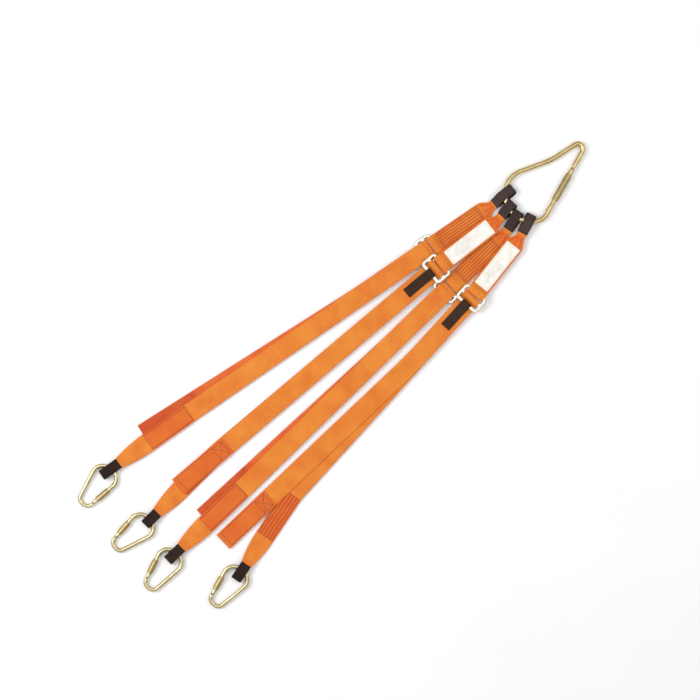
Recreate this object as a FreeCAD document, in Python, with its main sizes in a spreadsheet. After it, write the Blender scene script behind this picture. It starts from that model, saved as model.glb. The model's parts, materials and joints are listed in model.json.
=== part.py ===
import FreeCAD, Part
import math
import os

import Sketcher
from FreeCAD import Placement, Rotation, Vector

# A four-leg adjustable lifting bridle of flat webbing, laid out flat on the floor.
# Four webbing legs hang in the basket of one large screw-gate karabiner. Each leg has a stitched
# upper strap, a three-bar slide adjuster with a pull tab, a long lower strap with its free tail,
# and a small screw-gate karabiner in its lower eye.
#
# Millimetres, +Z up, z = 0 on the floor. +X points along the sling towards the large karabiner.
# The layout is worked out from the middle of the basket, and the last step moves every piece so
# that the origin is the middle of the footprint.
#
# Legs a and c lie face down (label, adjuster and pull tab underneath), legs b and d face up. Their
# adjusters are wider than the spacing of the legs, so legs b and d lie a little higher.

DIMENSIONS = {
    # flat webbing
    "webbing_width": 45.0,
    "webbing_thickness": 2.0,
    "ply_gap": 0.25,
    "sleeve_wall": 0.8,
    "sleeve_gap": 0.1,
    "upper_eye_width": 19.0,
    "lower_eye_width": 22.4,
    "sleeve_side_wall": 0.7,
    "label_width": 37.0,
    "label_length": 122.0,
    "label_thickness": 0.5,
    "block_length": 122.0,
    "shoulder_length": 24.0,
    "taper_length": 78.0,
    "tail_fold_length": 150.0,
    "travel": 80.0,
    # three-bar slide adjuster
    "adjuster_length": 43.0,
    "adjuster_width": 63.0,
    "adjuster_thickness": 4.6,
    "adjuster_bar": 8.0,
    "adjuster_slot_width": 50.0,
    "adjuster_corner": 10.0,
    "adjuster_slot_corner": 1.5,
    "adjuster_edge": 1.4,
    "tab_width": 24.0,
    "tab_thickness": 1.2,
    "tab_length": 73.0,
    # large karabiner
    "master_rod_radius": 5.75,
    "master_gate_length": 100.0,
    "master_sleeve_radius": 8.0,
    "master_sleeve_length": 71.0,
    "master_sleeve_start": 12.5,
    "master_collar_radius": 7.6,
    "master_collar_start": 10.0,
    "master_tongue": 5.0,
    "master_rivet_radius": 2.1,
    "master_latch_radius": 1.6,
    "master_spring_radius": 2.7,
    # small karabiners
    "small_rod_radius": 4.7,
    "small_gate_length": 55.0,
    "small_sleeve_radius": 7.0,
    "small_sleeve_length": 36.0,
    "small_sleeve_start": 9.5,
    "small_collar_radius": 6.0,
    "small_collar_start": 5.5,
    "small_tongue": 4.0,
    "small_rivet_radius": 1.7,
    "small_latch_radius": 1.2,
    "small_spring_radius": 2.0,
    # running clearances
    "bore_gap": 0.3,
    "slot_gap": 0.35,
    "pin_gap": 0.08,
    # where the layout stands against the origin
    "layout_x": 517.6,
    "layout_y": 11.36,
}

doc = FreeCAD.newDocument("webbing_bridle")
sheet = doc.addObject("Spreadsheet::Sheet", "Dimensions")
for row, (alias, value) in enumerate(DIMENSIONS.items(), start=1):
    sheet.set(f"A{row}", alias)
    sheet.set(f"B{row}", str(value))
    sheet.setAlias(f"B{row}", alias)
doc.recompute()

SUBPARTS = []


def dim(alias):
    """A driving dimension, read back from the spreadsheet."""
    return float(sheet.get(alias))


def bind(feature, prop, expression):
    """Bind a property to the spreadsheet. In the expression, # stands for the sheet's name."""
    feature.setExpression(prop, expression.replace("#", "Dimensions."))


def keep(feature, label, placement):
    """Name a finished sub-part, put it in its place and list it for export."""
    feature.Label = label
    layout = Vector(dim("layout_x"), dim("layout_y"), 0)
    feature.Placement = Placement(layout, Rotation()).multiply(placement)
    SUBPARTS.append(feature)
    return feature


# ---------------------------------------------------------------- outlines in a sketch's plane


def line(start, end):
    return Part.LineSegment(Vector(start[0], start[1], 0), Vector(end[0], end[1], 0))


def arc(centre, radius, start, end):
    """A counter-clockwise arc between two angles in radians."""
    circle = Part.Circle(Vector(centre[0], centre[1], 0), Vector(0, 0, 1), radius)
    return Part.ArcOfCircle(circle, start, end)


def circle(centre, radius):
    return Part.Circle(Vector(centre[0], centre[1], 0), Vector(0, 0, 1), radius)


def polygon(points):
    return [line(p, q) for p, q in zip(points, points[1:] + points[:1])]


def box_outline(x_low, x_high, y_low, y_high):
    return polygon([(x_low, y_low), (x_high, y_low), (x_high, y_high), (x_low, y_high)])


def rounded_box(x_low, x_high, y_low, y_high, radius):
    x_in, y_in = (x_low + radius, x_high - radius), (y_low + radius, y_high - radius)
    quarter = math.pi / 2
    corners = [(x_in[1], y_in[0], 3), (x_in[1], y_in[1], 0), (x_in[0], y_in[1], 1), (x_in[0], y_in[0], 2)]
    edges = [arc((x, y), radius, n * quarter, (n + 1) * quarter) for x, y, n in corners]
    edges.append(line((x_in[0], y_low), (x_in[1], y_low)))
    edges.append(line((x_high, y_in[0]), (x_high, y_in[1])))
    edges.append(line((x_in[1], y_high), (x_in[0], y_high)))
    edges.append(line((x_low, y_in[1]), (x_low, y_in[0])))
    return edges


def crossing(p, u, q, v):
    """Where the line through p along u meets the line through q along v."""
    det = u[0] * v[1] - u[1] * v[0]
    t = ((q[0] - p[0]) * v[1] - (q[1] - p[1]) * v[0]) / det
    return (p[0] + u[0] * t, p[1] + u[1] * t)


def belt(circles):
    """The closed outline of a belt run counter-clockwise round circles (x, y, radius).

    Each arc is drawn as two halves, which keeps half-round faces simple. A circle that the belt
    would have to bend outwards at, or whose radius isn't above 0, gives a corner instead.
    """
    runs = []
    for (x0, y0, r0), (x1, y1, r1) in zip(circles, circles[1:] + circles[:1]):
        length = math.hypot(x1 - x0, y1 - y0)
        heading = math.atan2(y1 - y0, x1 - x0)
        normal = heading - math.pi / 2 + math.asin((r0 - r1) / length)
        n = (math.cos(normal), math.sin(normal))
        start, end = (x0 + r0 * n[0], y0 + r0 * n[1]), (x1 + r1 * n[0], y1 + r1 * n[1])
        runs.append((normal, start, end))
    edges, ends = [], []
    for (x, y, r), before, after in zip(circles, runs[-1:] + runs[:-1], runs):
        turn = (after[0] - before[0] + math.pi) % (2 * math.pi) - math.pi
        if turn < -math.pi / 2:
            turn += 2 * math.pi
        if turn > 1e-3 and r > 0:
            middle = before[0] + turn / 2
            edges.append(arc((x, y), r, before[0], middle))
            edges.append(arc((x, y), r, middle, before[0] + turn))
            ends.append((before[2], after[1]))
        elif abs(turn) > 1e-3:
            along = [(-math.sin(run[0]), math.cos(run[0])) for run in (before, after)]
            corner = crossing(before[2], along[0], after[1], along[1])
            ends.append((corner, corner))
        else:
            ends.append((before[2], before[2]))
    for here, there in zip(ends, ends[1:] + ends[:1]):
        edges.append(line(here[1], there[0]))
    return edges


def route(corners):
    """Straight runs and tangent arcs through corners (x, y, radius), as plain descriptions."""
    pieces, here = [], corners[0][:2]
    for before, corner, after in zip(corners, corners[1:], corners[2:]):
        a = math.atan2(corner[1] - before[1], corner[0] - before[0])
        b = math.atan2(after[1] - corner[1], after[0] - corner[0])
        turn = (b - a + math.pi) % (2 * math.pi) - math.pi
        tangent = corner[2] * math.tan(abs(turn) / 2)
        start = (corner[0] - tangent * math.cos(a), corner[1] - tangent * math.sin(a))
        end = (corner[0] + tangent * math.cos(b), corner[1] + tangent * math.sin(b))
        side = math.copysign(1, turn)
        centre = (start[0] - side * corner[2] * math.sin(a), start[1] + side * corner[2] * math.cos(a))
        pieces.append(("run", here, start))
        pieces.append(("bend", centre, corner[2], a - side * math.pi / 2, turn))
        here = end
    pieces.append(("run", here, corners[-1][:2]))
    return pieces


def route_edges(pieces, offset=0.0):
    """The edges of a route, or of a line beside it, offset to its left."""
    edges = []
    for piece in pieces:
        if piece[0] == "run":
            (x0, y0), (x1, y1) = piece[1:]
            length = math.hypot(x1 - x0, y1 - y0)
            n = (-(y1 - y0) / length * offset, (x1 - x0) / length * offset)
            edges.append(line((x0 + n[0], y0 + n[1]), (x1 + n[0], y1 + n[1])))
        else:
            centre, radius, start, turn = piece[1:]
            low, high = sorted((start, start + turn))
            edges.append(arc(centre, radius - math.copysign(offset, turn * offset), low, high))
    return edges


def band(corners, thickness):
    """The closed outline of a ply of one thickness, whose middle line runs through the corners."""
    pieces, half = route(corners), thickness / 2
    caps = []
    for piece, end in ((pieces[0], 1), (pieces[-1], 2)):
        (x0, y0), (x1, y1) = piece[1:]
        length = math.hypot(x1 - x0, y1 - y0)
        n = (-(y1 - y0) / length * half, (x1 - x0) / length * half)
        x, y = piece[end]
        caps.append(line((x + n[0], y + n[1]), (x - n[0], y - n[1])))
    return route_edges(pieces, half) + route_edges(pieces, -half) + caps


# ---------------------------------------------------------------- features

X_AXIS, Y_AXIS, Z_AXIS = Vector(1, 0, 0), Vector(0, 1, 0), Vector(0, 0, 1)
THROUGH = 60.0  # longer than any piece that is cut right through


def loose_sketch(name, edges, placement):
    sketch = doc.addObject("Sketcher::SketchObject", name)
    sketch.Placement = placement
    sketch.addGeometry(edges, False)
    return sketch


def side_slab(name, edges, width, placement=Placement()):
    """A strip seen from the side, outline in x and z, extruded to a width bound to the sheet."""
    upright = placement.multiply(Placement(Vector(), Rotation(Vector(1, 0, 0), 90)))
    slab = doc.addObject("Part::Extrusion", name)
    slab.Base = loose_sketch(name + "_side", edges, upright)
    slab.DirMode = "Normal"
    slab.Solid = True
    slab.Symmetric = True
    bind(slab, "LengthFwd", width)
    return slab


def plan_slab(name, edges, low, high, placement=Placement()):
    """An outline in x and y, extruded between two heights."""
    lowest = placement.multiply(Placement(Vector(0, 0, low), Rotation()))
    slab = doc.addObject("Part::Extrusion", name)
    slab.Base = loose_sketch(name + "_plan", edges, lowest)
    slab.DirMode = "Normal"
    slab.Solid = True
    slab.LengthFwd = high - low
    return slab


def common(name, base, tool):
    both = doc.addObject("Part::Common", name)
    both.Base, both.Tool = base, tool
    return both


def cut(name, base, tool):
    left = doc.addObject("Part::Cut", name)
    left.Base, left.Tool = base, tool
    return left


def fuse(name, shapes):
    whole = doc.addObject("Part::MultiFuse", name)
    whole.Shapes = shapes
    return whole


def new_body(name):
    return doc.addObject("PartDesign::Body", name)


def sketch_on(body, role, edges, name, offset=None):
    """A sketch on one of the body's own origin planes."""
    sketch = body.newObject("Sketcher::SketchObject", name)
    support = next(f for f in body.Origin.OriginFeatures if f.Role == role)
    sketch.AttachmentSupport = (support, [""])
    sketch.MapMode = "FlatFace"
    if offset is not None:
        sketch.AttachmentOffset = offset
    sketch.addGeometry(edges, False)
    return sketch


def pad(body, sketch, length, name, symmetric=True):
    feature = body.newObject("PartDesign::Pad", name)
    feature.Profile = sketch
    feature.SideType = "Symmetric" if symmetric else "One side"
    bind(feature, "Length", length)
    return feature


def pocket_through(body, sketch, name):
    """Cut a sketch right through the body, both ways from its plane."""
    feature = body.newObject("PartDesign::Pocket", name)
    feature.Profile = sketch
    feature.SideType = "Symmetric"
    feature.Length = THROUGH
    return feature


def spin(body, sketch, name, kind="Revolution"):
    """Turn a sketch once round its own horizontal axis."""
    feature = body.newObject("PartDesign::" + kind, name)
    feature.Profile = sketch
    feature.ReferenceAxis = (sketch, ["H_Axis"])
    feature.Angle = 360.0
    return feature


# ---------------------------------------------------------------- karabiners


class KarabinerPlan:
    """One size of screw-gate karabiner. Its plane is XY, and the gate runs from hinge to nose."""

    def __init__(self, size, corners):
        self.size = size
        self.corners = corners
        self.nose, self.hinge = Vector(*corners[0][:2], 0), Vector(*corners[-1][:2], 0)
        self.rod = dim(size + "_rod_radius")
        self.gate = dim(size + "_gate_length")
        self.tongue = dim(size + "_tongue")
        self.rivet = dim(size + "_rivet_radius")
        self.latch = dim(size + "_latch_radius")
        middle = Vector(sum(c[0] for c in corners), sum(c[1] for c in corners), 0) * (1 / len(corners))
        self.inner_side = math.copysign(1, self.gate_place().inverse().multVec(middle).y)

    def gate_place(self):
        along = self.nose - self.hinge
        turn = math.degrees(math.atan2(along.y, along.x))
        return Placement(self.hinge, Rotation(Z_AXIS, turn))


TONGUE_REACH = 1.7  # how far the nose's tongue runs into the gate, in rod radii
FORK_DEPTH = 1.3  # how far the hinge slot runs into the gate past the rivet, in rod radii
FORK_CLEAR = 0.6  # between the gate's round hinge end and the shoulder it turns beside
LATCH_PLACE = 0.85  # the latch pin's distance from the end of the gate, in rod radii
KNURLS = 24
SPRING_ROOM = 4.2  # length of the spring's bore, in rod radii
SPRING_TURNS = 7


def karabiner_frame(plan, label, placement):
    """The bent rod from the nose round to the hinge, with a flat tongue at each end."""
    body = new_body(label)
    size, rod = plan.size, plan.rod
    shoulder = rod + FORK_CLEAR
    last, before = Vector(*plan.corners[-1][:2], 0), Vector(*plan.corners[-2][:2], 0)
    back = (before - last).normalize()
    stop = last + back * shoulder
    corners = plan.corners[:-1] + [(stop.x, stop.y, 0)]
    spine = sketch_on(body, "XY_Plane", route_edges(route(corners)), label + "_spine")
    first, second = Vector(*corners[0][:2], 0), Vector(*corners[1][:2], 0)
    heading = math.degrees(math.atan2(second.y - first.y, second.x - first.x))
    across = Placement(first, Rotation(Z_AXIS, heading).multiply(Rotation(Vector(1, 1, 1), 120)))
    section = sketch_on(body, "XY_Plane", [circle((0, 0), rod)], label + "_section", across)
    radius = section.addConstraint(Sketcher.Constraint("Radius", 0, rod))
    section.addConstraint(Sketcher.Constraint("Coincident", 0, 3, -1, 1))
    bind(section, f"Constraints[{radius}]", f"#{size}_rod_radius")
    pipe = body.newObject("PartDesign::AdditivePipe", label + "_rod")
    pipe.Profile = section
    pipe.Spine = spine
    start = dim(size + "_collar_start")
    ring_place = across.multiply(Placement(Vector(0, 0, start), Rotation()))
    ring = sketch_on(body, "XY_Plane", [circle((0, 0), dim(size + "_collar_radius"))],
                     label + "_collar", ring_place)
    pad(body, ring, f"#{size}_rod_radius * 0.7", label + "_collar_pad", symmetric=False)

    gate_place = plan.gate_place()
    width = rod - 0.35
    reach = TONGUE_REACH * rod
    end = plan.gate
    latch_x = end - LATCH_PLACE * rod
    hinge_tongue = [arc((0, 0), width, -math.pi / 2, math.pi / 2),
                    line((0, width), (-shoulder - 1, width)),
                    line((-shoulder - 1, width), (-shoulder - 1, -width)),
                    line((-shoulder - 1, -width), (0, -width))]
    nose_tongue = box_outline(end - reach, end + 1, -width, width)
    lay = Placement(gate_place.Base, gate_place.Rotation)
    for name, edges in (("hinge_tongue", hinge_tongue), ("nose_tongue", nose_tongue)):
        sketch = sketch_on(body, "XY_Plane", edges, f"{label}_{name}", lay)
        pad(body, sketch, f"#{size}_tongue", f"{label}_{name}_pad")
    # the notch lets the latch pin swing out of the nose towards the inside of the karabiner
    inner = plan.inner_side
    notch = plan.latch + dim("slot_gap")
    low, high = sorted((-inner * notch, inner * (rod + 2)))
    cuts = [("rivet_hole", [circle((0, 0), plan.rivet + dim("pin_gap"))]),
            ("latch_notch", box_outline(latch_x - notch, latch_x + notch, low, high))]
    for name, edges in cuts:
        sketch = sketch_on(body, "XY_Plane", edges, f"{label}_{name}", lay)
        pocket_through(body, sketch, f"{label}_{name}_cut")
    return keep(body, label, placement)


def karabiner_gate(plan, label, placement):
    """The gate: a round bar, forked over the frame's tongue at each end and bored for the spring."""
    body = new_body(label)
    rod, end = plan.rod, plan.gate
    profile = [arc((0, 0), rod, math.pi / 2, math.pi), line((0, rod), (end - 1, rod)),
               line((end - 1, rod), (end - 0.3, rod - 0.7)), line((end - 0.3, rod - 0.7), (end - 0.3, 0)),
               line((end - 0.3, 0), (-rod, 0))]
    spin(body, sketch_on(body, "XZ_Plane", profile, label + "_bar"), label + "_turned")
    half = plan.tongue / 2 + dim("slot_gap")
    reach, fork = TONGUE_REACH * rod + 0.8, FORK_DEPTH * rod
    slots = [("hinge_slot", box_outline(-rod - 1, fork, -half, half)),
             ("nose_slot", box_outline(end - reach, end + 1, -half, half))]
    for name, edges in slots:
        sketch = sketch_on(body, "XZ_Plane", edges, f"{label}_{name}")
        pocket_through(body, sketch, f"{label}_{name}_cut")
    gap = dim("pin_gap")
    holes = [("rivet_hole", 0.0, plan.rivet + gap), ("latch_hole", end - LATCH_PLACE * rod, plan.latch + gap)]
    for name, x, radius in holes:
        sketch = sketch_on(body, "XY_Plane", [circle((x, 0), radius)], f"{label}_{name}")
        pocket_through(body, sketch, f"{label}_{name}_cut")
    bore = dim(plan.size + "_spring_radius") + 0.6
    depth = fork + SPRING_ROOM * rod
    bored = box_outline(fork - 0.5, depth, 0, bore)
    spin(body, sketch_on(body, "XZ_Plane", bored, label + "_bore"), label + "_bored", "Groove")
    return keep(body, label, placement.multiply(plan.gate_place()))


def lock_sleeve(plan, label, placement):
    """The knurled sleeve, run back from the nose, so that the gate is free to open."""
    body = new_body(label)
    size = plan.size
    start, length = dim(size + "_sleeve_start"), dim(size + "_sleeve_length")
    outer, bore = dim(size + "_sleeve_radius"), plan.rod + dim("bore_gap")
    end = start + length
    lip = 0.35 * (outer - bore)
    profile = polygon([(start, bore), (end, bore), (end, outer - 2 * lip), (end - 2, outer - lip),
                       (end - 4, outer - lip), (end - 5, outer), (start + 5, outer),
                       (start + 4, outer - lip), (start + 2, outer - lip), (start, outer - 2 * lip)])
    spin(body, sketch_on(body, "XZ_Plane", profile, label + "_wall"), label + "_turned")
    depth, half = 0.45, 0.4
    groove = polygon([(0, outer - depth), (half, outer + 1), (-half, outer + 1)])
    across = Placement(Vector(0, 0, start + 5.5), Rotation())
    sketch = sketch_on(body, "YZ_Plane", groove, label + "_knurl", across)
    knurl = body.newObject("PartDesign::Pocket", label + "_knurl_cut")
    knurl.Profile = sketch
    knurl.Reversed = True
    bind(knurl, "Length", f"#{size}_sleeve_length - 11")
    doc.recompute()
    pattern = body.newObject("PartDesign::PolarPattern", label + "_knurls")
    pattern.Originals = [knurl]
    pattern.Axis = (next(f for f in body.Origin.OriginFeatures if f.Role == "X_Axis"), [""])
    pattern.Angle = 360.0
    pattern.Occurrences = KNURLS
    body.Tip = pattern
    return keep(body, label, placement.multiply(plan.gate_place()))


def headed_pin(name, x, radius, height):
    """A pin across the gate with a low domed head at each end."""
    body = new_body(name)
    dome, shank = radius * 0.35, height / 2
    profile = polygon([(-shank - dome, 0), (-shank - dome, radius * 0.6), (-shank, radius),
                       (shank, radius), (shank + dome, radius * 0.6), (shank + dome, 0)])
    upright = Placement(Vector(x, 0, 0), Rotation(Y_AXIS, -90))
    spin(body, sketch_on(body, "XY_Plane", profile, name + "_half", upright), name + "_turned")
    return body


def gate_spring(plan, name):
    """The coil spring in the gate, which pushes the plunger against the hinge tongue."""
    size, wire = plan.size, 0.45
    start = (FORK_DEPTH + 1.2) * plan.rod
    length = (FORK_DEPTH + SPRING_ROOM) * plan.rod - start - 2 * wire
    coil = doc.addObject("Part::Helix", name + "_coil")
    coil.Height = length
    coil.Pitch = length / SPRING_TURNS
    bind(coil, "Radius", f"#{size}_spring_radius")
    radius = dim(size + "_spring_radius")
    ring = doc.addObject("Part::Circle", name + "_wire")
    ring.Radius = wire
    ring.Placement = Placement(Vector(radius, 0, 0), Rotation(X_AXIS, 90))
    spring = doc.addObject("Part::Sweep", name)
    spring.Sections = [ring]
    spring.Spine = (coil, ["Edge1"])
    spring.Solid = True
    spring.Frenet = True
    return spring, Placement(Vector(start + wire, 0, 0), Rotation(Y_AXIS, 90))


def plunger(plan, name):
    """The plunger between the spring and the hinge tongue."""
    body = new_body(name)
    rod, head = plan.rod, dim(plan.size + "_spring_radius") + 0.45
    tip, fork, back = rod - 0.05, FORK_DEPTH * rod, (FORK_DEPTH + 1.1) * rod
    profile = polygon([(tip, 0), (tip, head * 0.45), (fork, head * 0.7), (fork, head), (back, head), (back, 0)])
    spin(body, sketch_on(body, "XZ_Plane", profile, name + "_half"), name + "_turned")
    return body


def karabiner(plan, prefix, placement, grouped):
    """All the pieces of one karabiner. Small fittings share one node where grouped."""
    on_gate = placement.multiply(plan.gate_place())
    karabiner_frame(plan, prefix + "karabiner", placement)
    karabiner_gate(plan, prefix + "gate", placement)
    lock_sleeve(plan, prefix + "lock_sleeve", placement)
    across = 2 * plan.rod
    latch_length = 2 * math.sqrt(plan.rod ** 2 - plan.latch ** 2) - 0.6
    rivet = headed_pin(prefix + "hinge_rivet", 0.0, plan.rivet, across)
    latch = headed_pin(prefix + "latch_pin", plan.gate - LATCH_PLACE * plan.rod, plan.latch, latch_length)
    spring, spring_place = gate_spring(plan, prefix + "gate_spring")
    button = plunger(plan, prefix + "spring_plunger")
    if grouped:
        spring.Placement = spring_place
        group = doc.addObject("Part::Compound", prefix + "gate_hardware")
        group.Links = [rivet, latch, spring, button]
        keep(group, prefix + "gate_hardware", on_gate)
        return
    keep(rivet, prefix + "hinge_rivet", on_gate)
    keep(latch, prefix + "latch_pin", on_gate)
    keep(spring, prefix + "gate_spring", on_gate.multiply(spring_place))
    keep(button, prefix + "spring_plunger", on_gate)


def toward(start, end):
    """The heading from one point of the layout to another, in degrees."""
    return math.degrees(math.atan2(end[1] - start[1], end[0] - start[0]))


def ahead(point, heading, distance):
    turn = math.radians(heading)
    return (point[0] + distance * math.cos(turn), point[1] + distance * math.sin(turn))


def master_plan():
    """The large karabiner: wide basket for the four eyes, long S-bent spine, narrow apex."""
    hinge, gate_heading = (146.0, -18.0), 198.07
    nose = ahead(hinge, gate_heading, dim("master_gate_length"))
    corners = [nose, (*ahead(nose, gate_heading, 37.0), 32.0), (-70.0, -1.5, 62.0), (25.5, 70.4, 54.0),
               (123.0, 31.0, 150.0), (204.0, 18.2, 11.5), (*ahead(hinge, gate_heading, -52.0), 15.5), hinge]
    return KarabinerPlan("master", [(*c[:2], c[2] if len(c) > 2 else 0.0) for c in corners])


def small_plan():
    """A leg karabiner: a wide end that stands in the strap's eye at x = 0, and a narrow far end."""
    hinge, gate_heading = (85.5, 17.9), 168.9
    nose = ahead(hinge, gate_heading, dim("small_gate_length"))
    corners = [nose, (*ahead(nose, gate_heading, 32.0), 24.0), (0.0, -34.0, 24.0), (103.5, -13.9, 15.0),
               (*ahead(hinge, gate_heading, -18.3), 15.0), hinge]
    return KarabinerPlan("small", [(*c[:2], c[2] if len(c) > 2 else 0.0) for c in corners])


# ---------------------------------------------------------------- webbing

T, GAP = dim("webbing_thickness"), dim("ply_gap")
SKIN = dim("sleeve_gap") + dim("sleeve_wall")
BLOCK_HALF = T + GAP / 2  # half the thickness of two plies sewn together
MASTER_EYE, SMALL_EYE = dim("master_rod_radius") + 1.9, dim("small_rod_radius") + 1.8
EYE_PLAY = 1.2  # each way along the eye, past what the rod needs
MASTER_ROD_Z, SMALL_ROD_Z = MASTER_EYE + T + SKIN + 0.4, SMALL_EYE + T + SKIN + 0.1
MASTER_PITCH, SMALL_PITCH = 0.79, 1.2  # each karabiner leans from its raised eye end to the floor
BASKET_X = -24.0
TIP_RADIUS = 3.4  # of the closed end of an eye that is longer than its rod needs

MASTER, SMALL = master_plan(), small_plan()

# heights in a leg's own frame, from the underside of its standing ply
TAIL_Z = T + GAP
BAR_Z = TAIL_Z + T + 0.35 + dim("tab_thickness") + 0.4 + dim("adjuster_thickness") / 2
BAR_HALF = dim("adjuster_thickness") / 2
STACK = BAR_Z + BAR_HALF + 0.35 + T
LAP_START = dim("adjuster_length") + 7.0
LAP_END = LAP_START + dim("travel")
LAP = (T - 0.3) / 2  # plies that slide along each other are half as thick there
RAISED = 10.2  # height of the face-up legs at their adjusters
TOUCH = 0.2
TAB_DROOP = 3.6  # a face-down tab hangs from its bar to the floor


def master_place():
    """The large karabiner leans from its raised basket to the floor at its apex."""
    lean = Placement(Vector(BASKET_X, 0, MASTER_ROD_Z), Rotation(Y_AXIS, MASTER_PITCH))
    return lean.multiply(Placement(Vector(-BASKET_X, 0, 0), Rotation()))


class Leg:
    """Where one leg lies. Points are in the layout's plan, in millimetres."""

    def __init__(self, name, face_down, rod, shoulder, adjuster, block, eye, tail_end, tail_drift,
                 eye_reach, eye_cover, low_reach, low_cover, hook_heading, gate_left):
        self.name, self.face_down = name, face_down
        self.rod, self.shoulder, self.adjuster, self.block, self.eye = rod, shoulder, adjuster, block, eye
        self.tail_end, self.tail_drift = tail_end, tail_drift
        self.eye_reach, self.eye_cover = eye_reach, eye_cover
        self.low_reach, self.low_cover = low_reach, low_cover
        self.hook_heading, self.gate_left = hook_heading, gate_left
        self.run = math.dist(adjuster, block)
        self.upper_length = math.dist(shoulder, adjuster)
        self.block_z = dim("label_thickness") + TOUCH + 0.1 + BLOCK_HALF if face_down else RAISED + BLOCK_HALF
        self.top_z = STACK + 0.3 if face_down else RAISED
        self.low_z = self.fold_height() + TOUCH if face_down else T + GAP + TOUCH
        self.bar_world_z = self.top_z - BAR_Z if face_down else self.top_z + BAR_Z

    def fold_height(self):
        return TAIL_Z + 2 * T + GAP

    def upper(self):
        """From the shoulder towards the adjuster, level."""
        return Placement(Vector(*self.shoulder, 0), Rotation(Z_AXIS, toward(self.shoulder, self.adjuster)))

    def upper_eye(self):
        """From the rod of the large karabiner towards the shoulder, level."""
        return Placement(Vector(*self.rod, 0), Rotation(Z_AXIS, toward(self.rod, self.shoulder)))

    def lower(self):
        """From the adjuster along the lower strap, falling gently to the floor at the far block."""
        fall = self.run + dim("block_length")
        pitch = math.degrees(math.asin((self.top_z - self.low_z) / fall))
        turn = Rotation(Z_AXIS, toward(self.adjuster, self.block)).multiply(Rotation(Y_AXIS, pitch))
        if self.face_down:
            turn = turn.multiply(Rotation(X_AXIS, 180))
        return Placement(Vector(*self.adjuster, self.top_z), turn)

    def lower_end(self):
        """The far block and eye, in the frame of lower(): from the block's start to the eye."""
        turn = toward(self.block, self.eye) - toward(self.adjuster, self.block)
        return Placement(Vector(self.run, 0, 0), Rotation(Z_AXIS, -turn if self.face_down else turn))

    def lower_eye(self):
        """In the frame of lower(): from the small karabiner's rod back towards the block."""
        back = Placement(Vector(math.dist(self.block, self.eye), 0, 0), Rotation(Z_AXIS, 180))
        return self.lower_end().multiply(back)

    def hook(self):
        """The small karabiner's own frame, at the middle of its wide end."""
        turn = Rotation(Z_AXIS, self.hook_heading).multiply(Rotation(Y_AXIS, SMALL_PITCH))
        if self.gate_left:
            turn = turn.multiply(Rotation(X_AXIS, 180))
        return Placement(Vector(*self.eye, SMALL_ROD_Z), turn)


LEGS = [
    Leg("leg_a_", True, rod=(-10, 42), shoulder=(-52, 44.5), adjuster=(-204.5, 65), block=(-892, 156),
        eye=(-1116, 182), tail_end=812, tail_drift=22, eye_reach=24, eye_cover=33,
        low_reach=27, low_cover=20, hook_heading=189.5, gate_left=False),
    Leg("leg_b_", False, rod=(-23.6, 13.5), shoulder=(-62, 9.5), adjuster=(-221.5, 21.5),
        block=(-905, 44), eye=(-1127, 33), tail_end=806, tail_drift=-2, eye_reach=12,
        eye_cover=26, low_reach=17, low_cover=21, hook_heading=176, gate_left=True),
    Leg("leg_c_", True, rod=(-24, -13), shoulder=(-72, -25), adjuster=(-233.5, -30),
        block=(-920, -58), eye=(-1133, -64), tail_end=798, tail_drift=18, eye_reach=12,
        eye_cover=36, low_reach=28, low_cover=15, hook_heading=190, gate_left=True),
    Leg("leg_d_", False, rod=(-10.5, -39.3), shoulder=(-52, -55), adjuster=(-207.5, -81),
        block=(-839, -145), eye=(-1046, -197), tail_end=829, tail_drift=46, eye_reach=17,
        eye_cover=33, low_reach=28, low_cover=14, hook_heading=188, gate_left=True),
]


def rod_circles(reach, plan, rod_place, eye_place, width, radius):
    """The circles that an eye's ply runs round at its rod, from its closed end on.

    A rod that crosses the eye at a slant, or bends inside it, needs a longer eye, so two circles
    stand as far apart as the rod's middle line runs along the eye within the eye's width.
    """
    into_eye = eye_place.inverse().multiply(rod_place)
    half, crossed = width / 2 + dim("sleeve_side_wall") + 0.3, []
    for piece in route_edges(route(plan.corners)):
        points = [into_eye.multVec(p) for p in piece.toShape().discretize(Distance=0.5)]
        crossed += [p for p in points if abs(p.y) < half and abs(p.x) < 3 * radius]
    low, high = min(p.x for p in crossed), max(p.x for p in crossed)
    slant = 1 / math.cos(math.atan2(high - low, 2 * half)) - 1
    low, high = low - EYE_PLAY - slant * plan.rod, high + EYE_PLAY + slant * plan.rod
    rod_z = sum(p.z for p in crossed) / len(crossed)
    circles = [(low, rod_z, radius), (high, rod_z, radius)]
    tip = SKIN + TIP_RADIUS - reach
    if tip < low - radius + TIP_RADIUS - 1:
        circles.insert(0, (tip, rod_z, TIP_RADIUS))
    return circles


def grown(circles, by):
    return [(x, z, r + by) for x, z, r in circles]


def chain_outline(chain):
    """Up one side of a chain of circles and back down the other."""
    return belt(chain + chain[-2:0:-1])


def eye_loop(name, chain, hole, width, placement=Placement()):
    return side_slab(name, chain_outline(chain) + chain_outline(hole), width, placement)


def anti_chafe_sleeve(label, outer, hole, cover, eye_width, placement):
    """A tube of webbing round the eye's ply: two walls and two thin sides, open at its ends."""
    gap, skin = dim("sleeve_gap"), SKIN
    tube = eye_loop(label + "_tube", grown(outer, skin), grown(hole, -skin),
                    f"#{eye_width} + 2 * #sleeve_side_wall + 0.2")
    channel = eye_loop(label + "_channel", grown(outer, gap), grown(hole, -gap), f"#{eye_width} + 0.2")
    shell = cut(label + "_shell", tube, channel)
    kept = plan_slab(label + "_kept", box_outline(-60, cover, -30, 30), outer[0][1] - 20, outer[0][1] + 20)
    return keep(common(label, shell, kept), label, placement)


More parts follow.
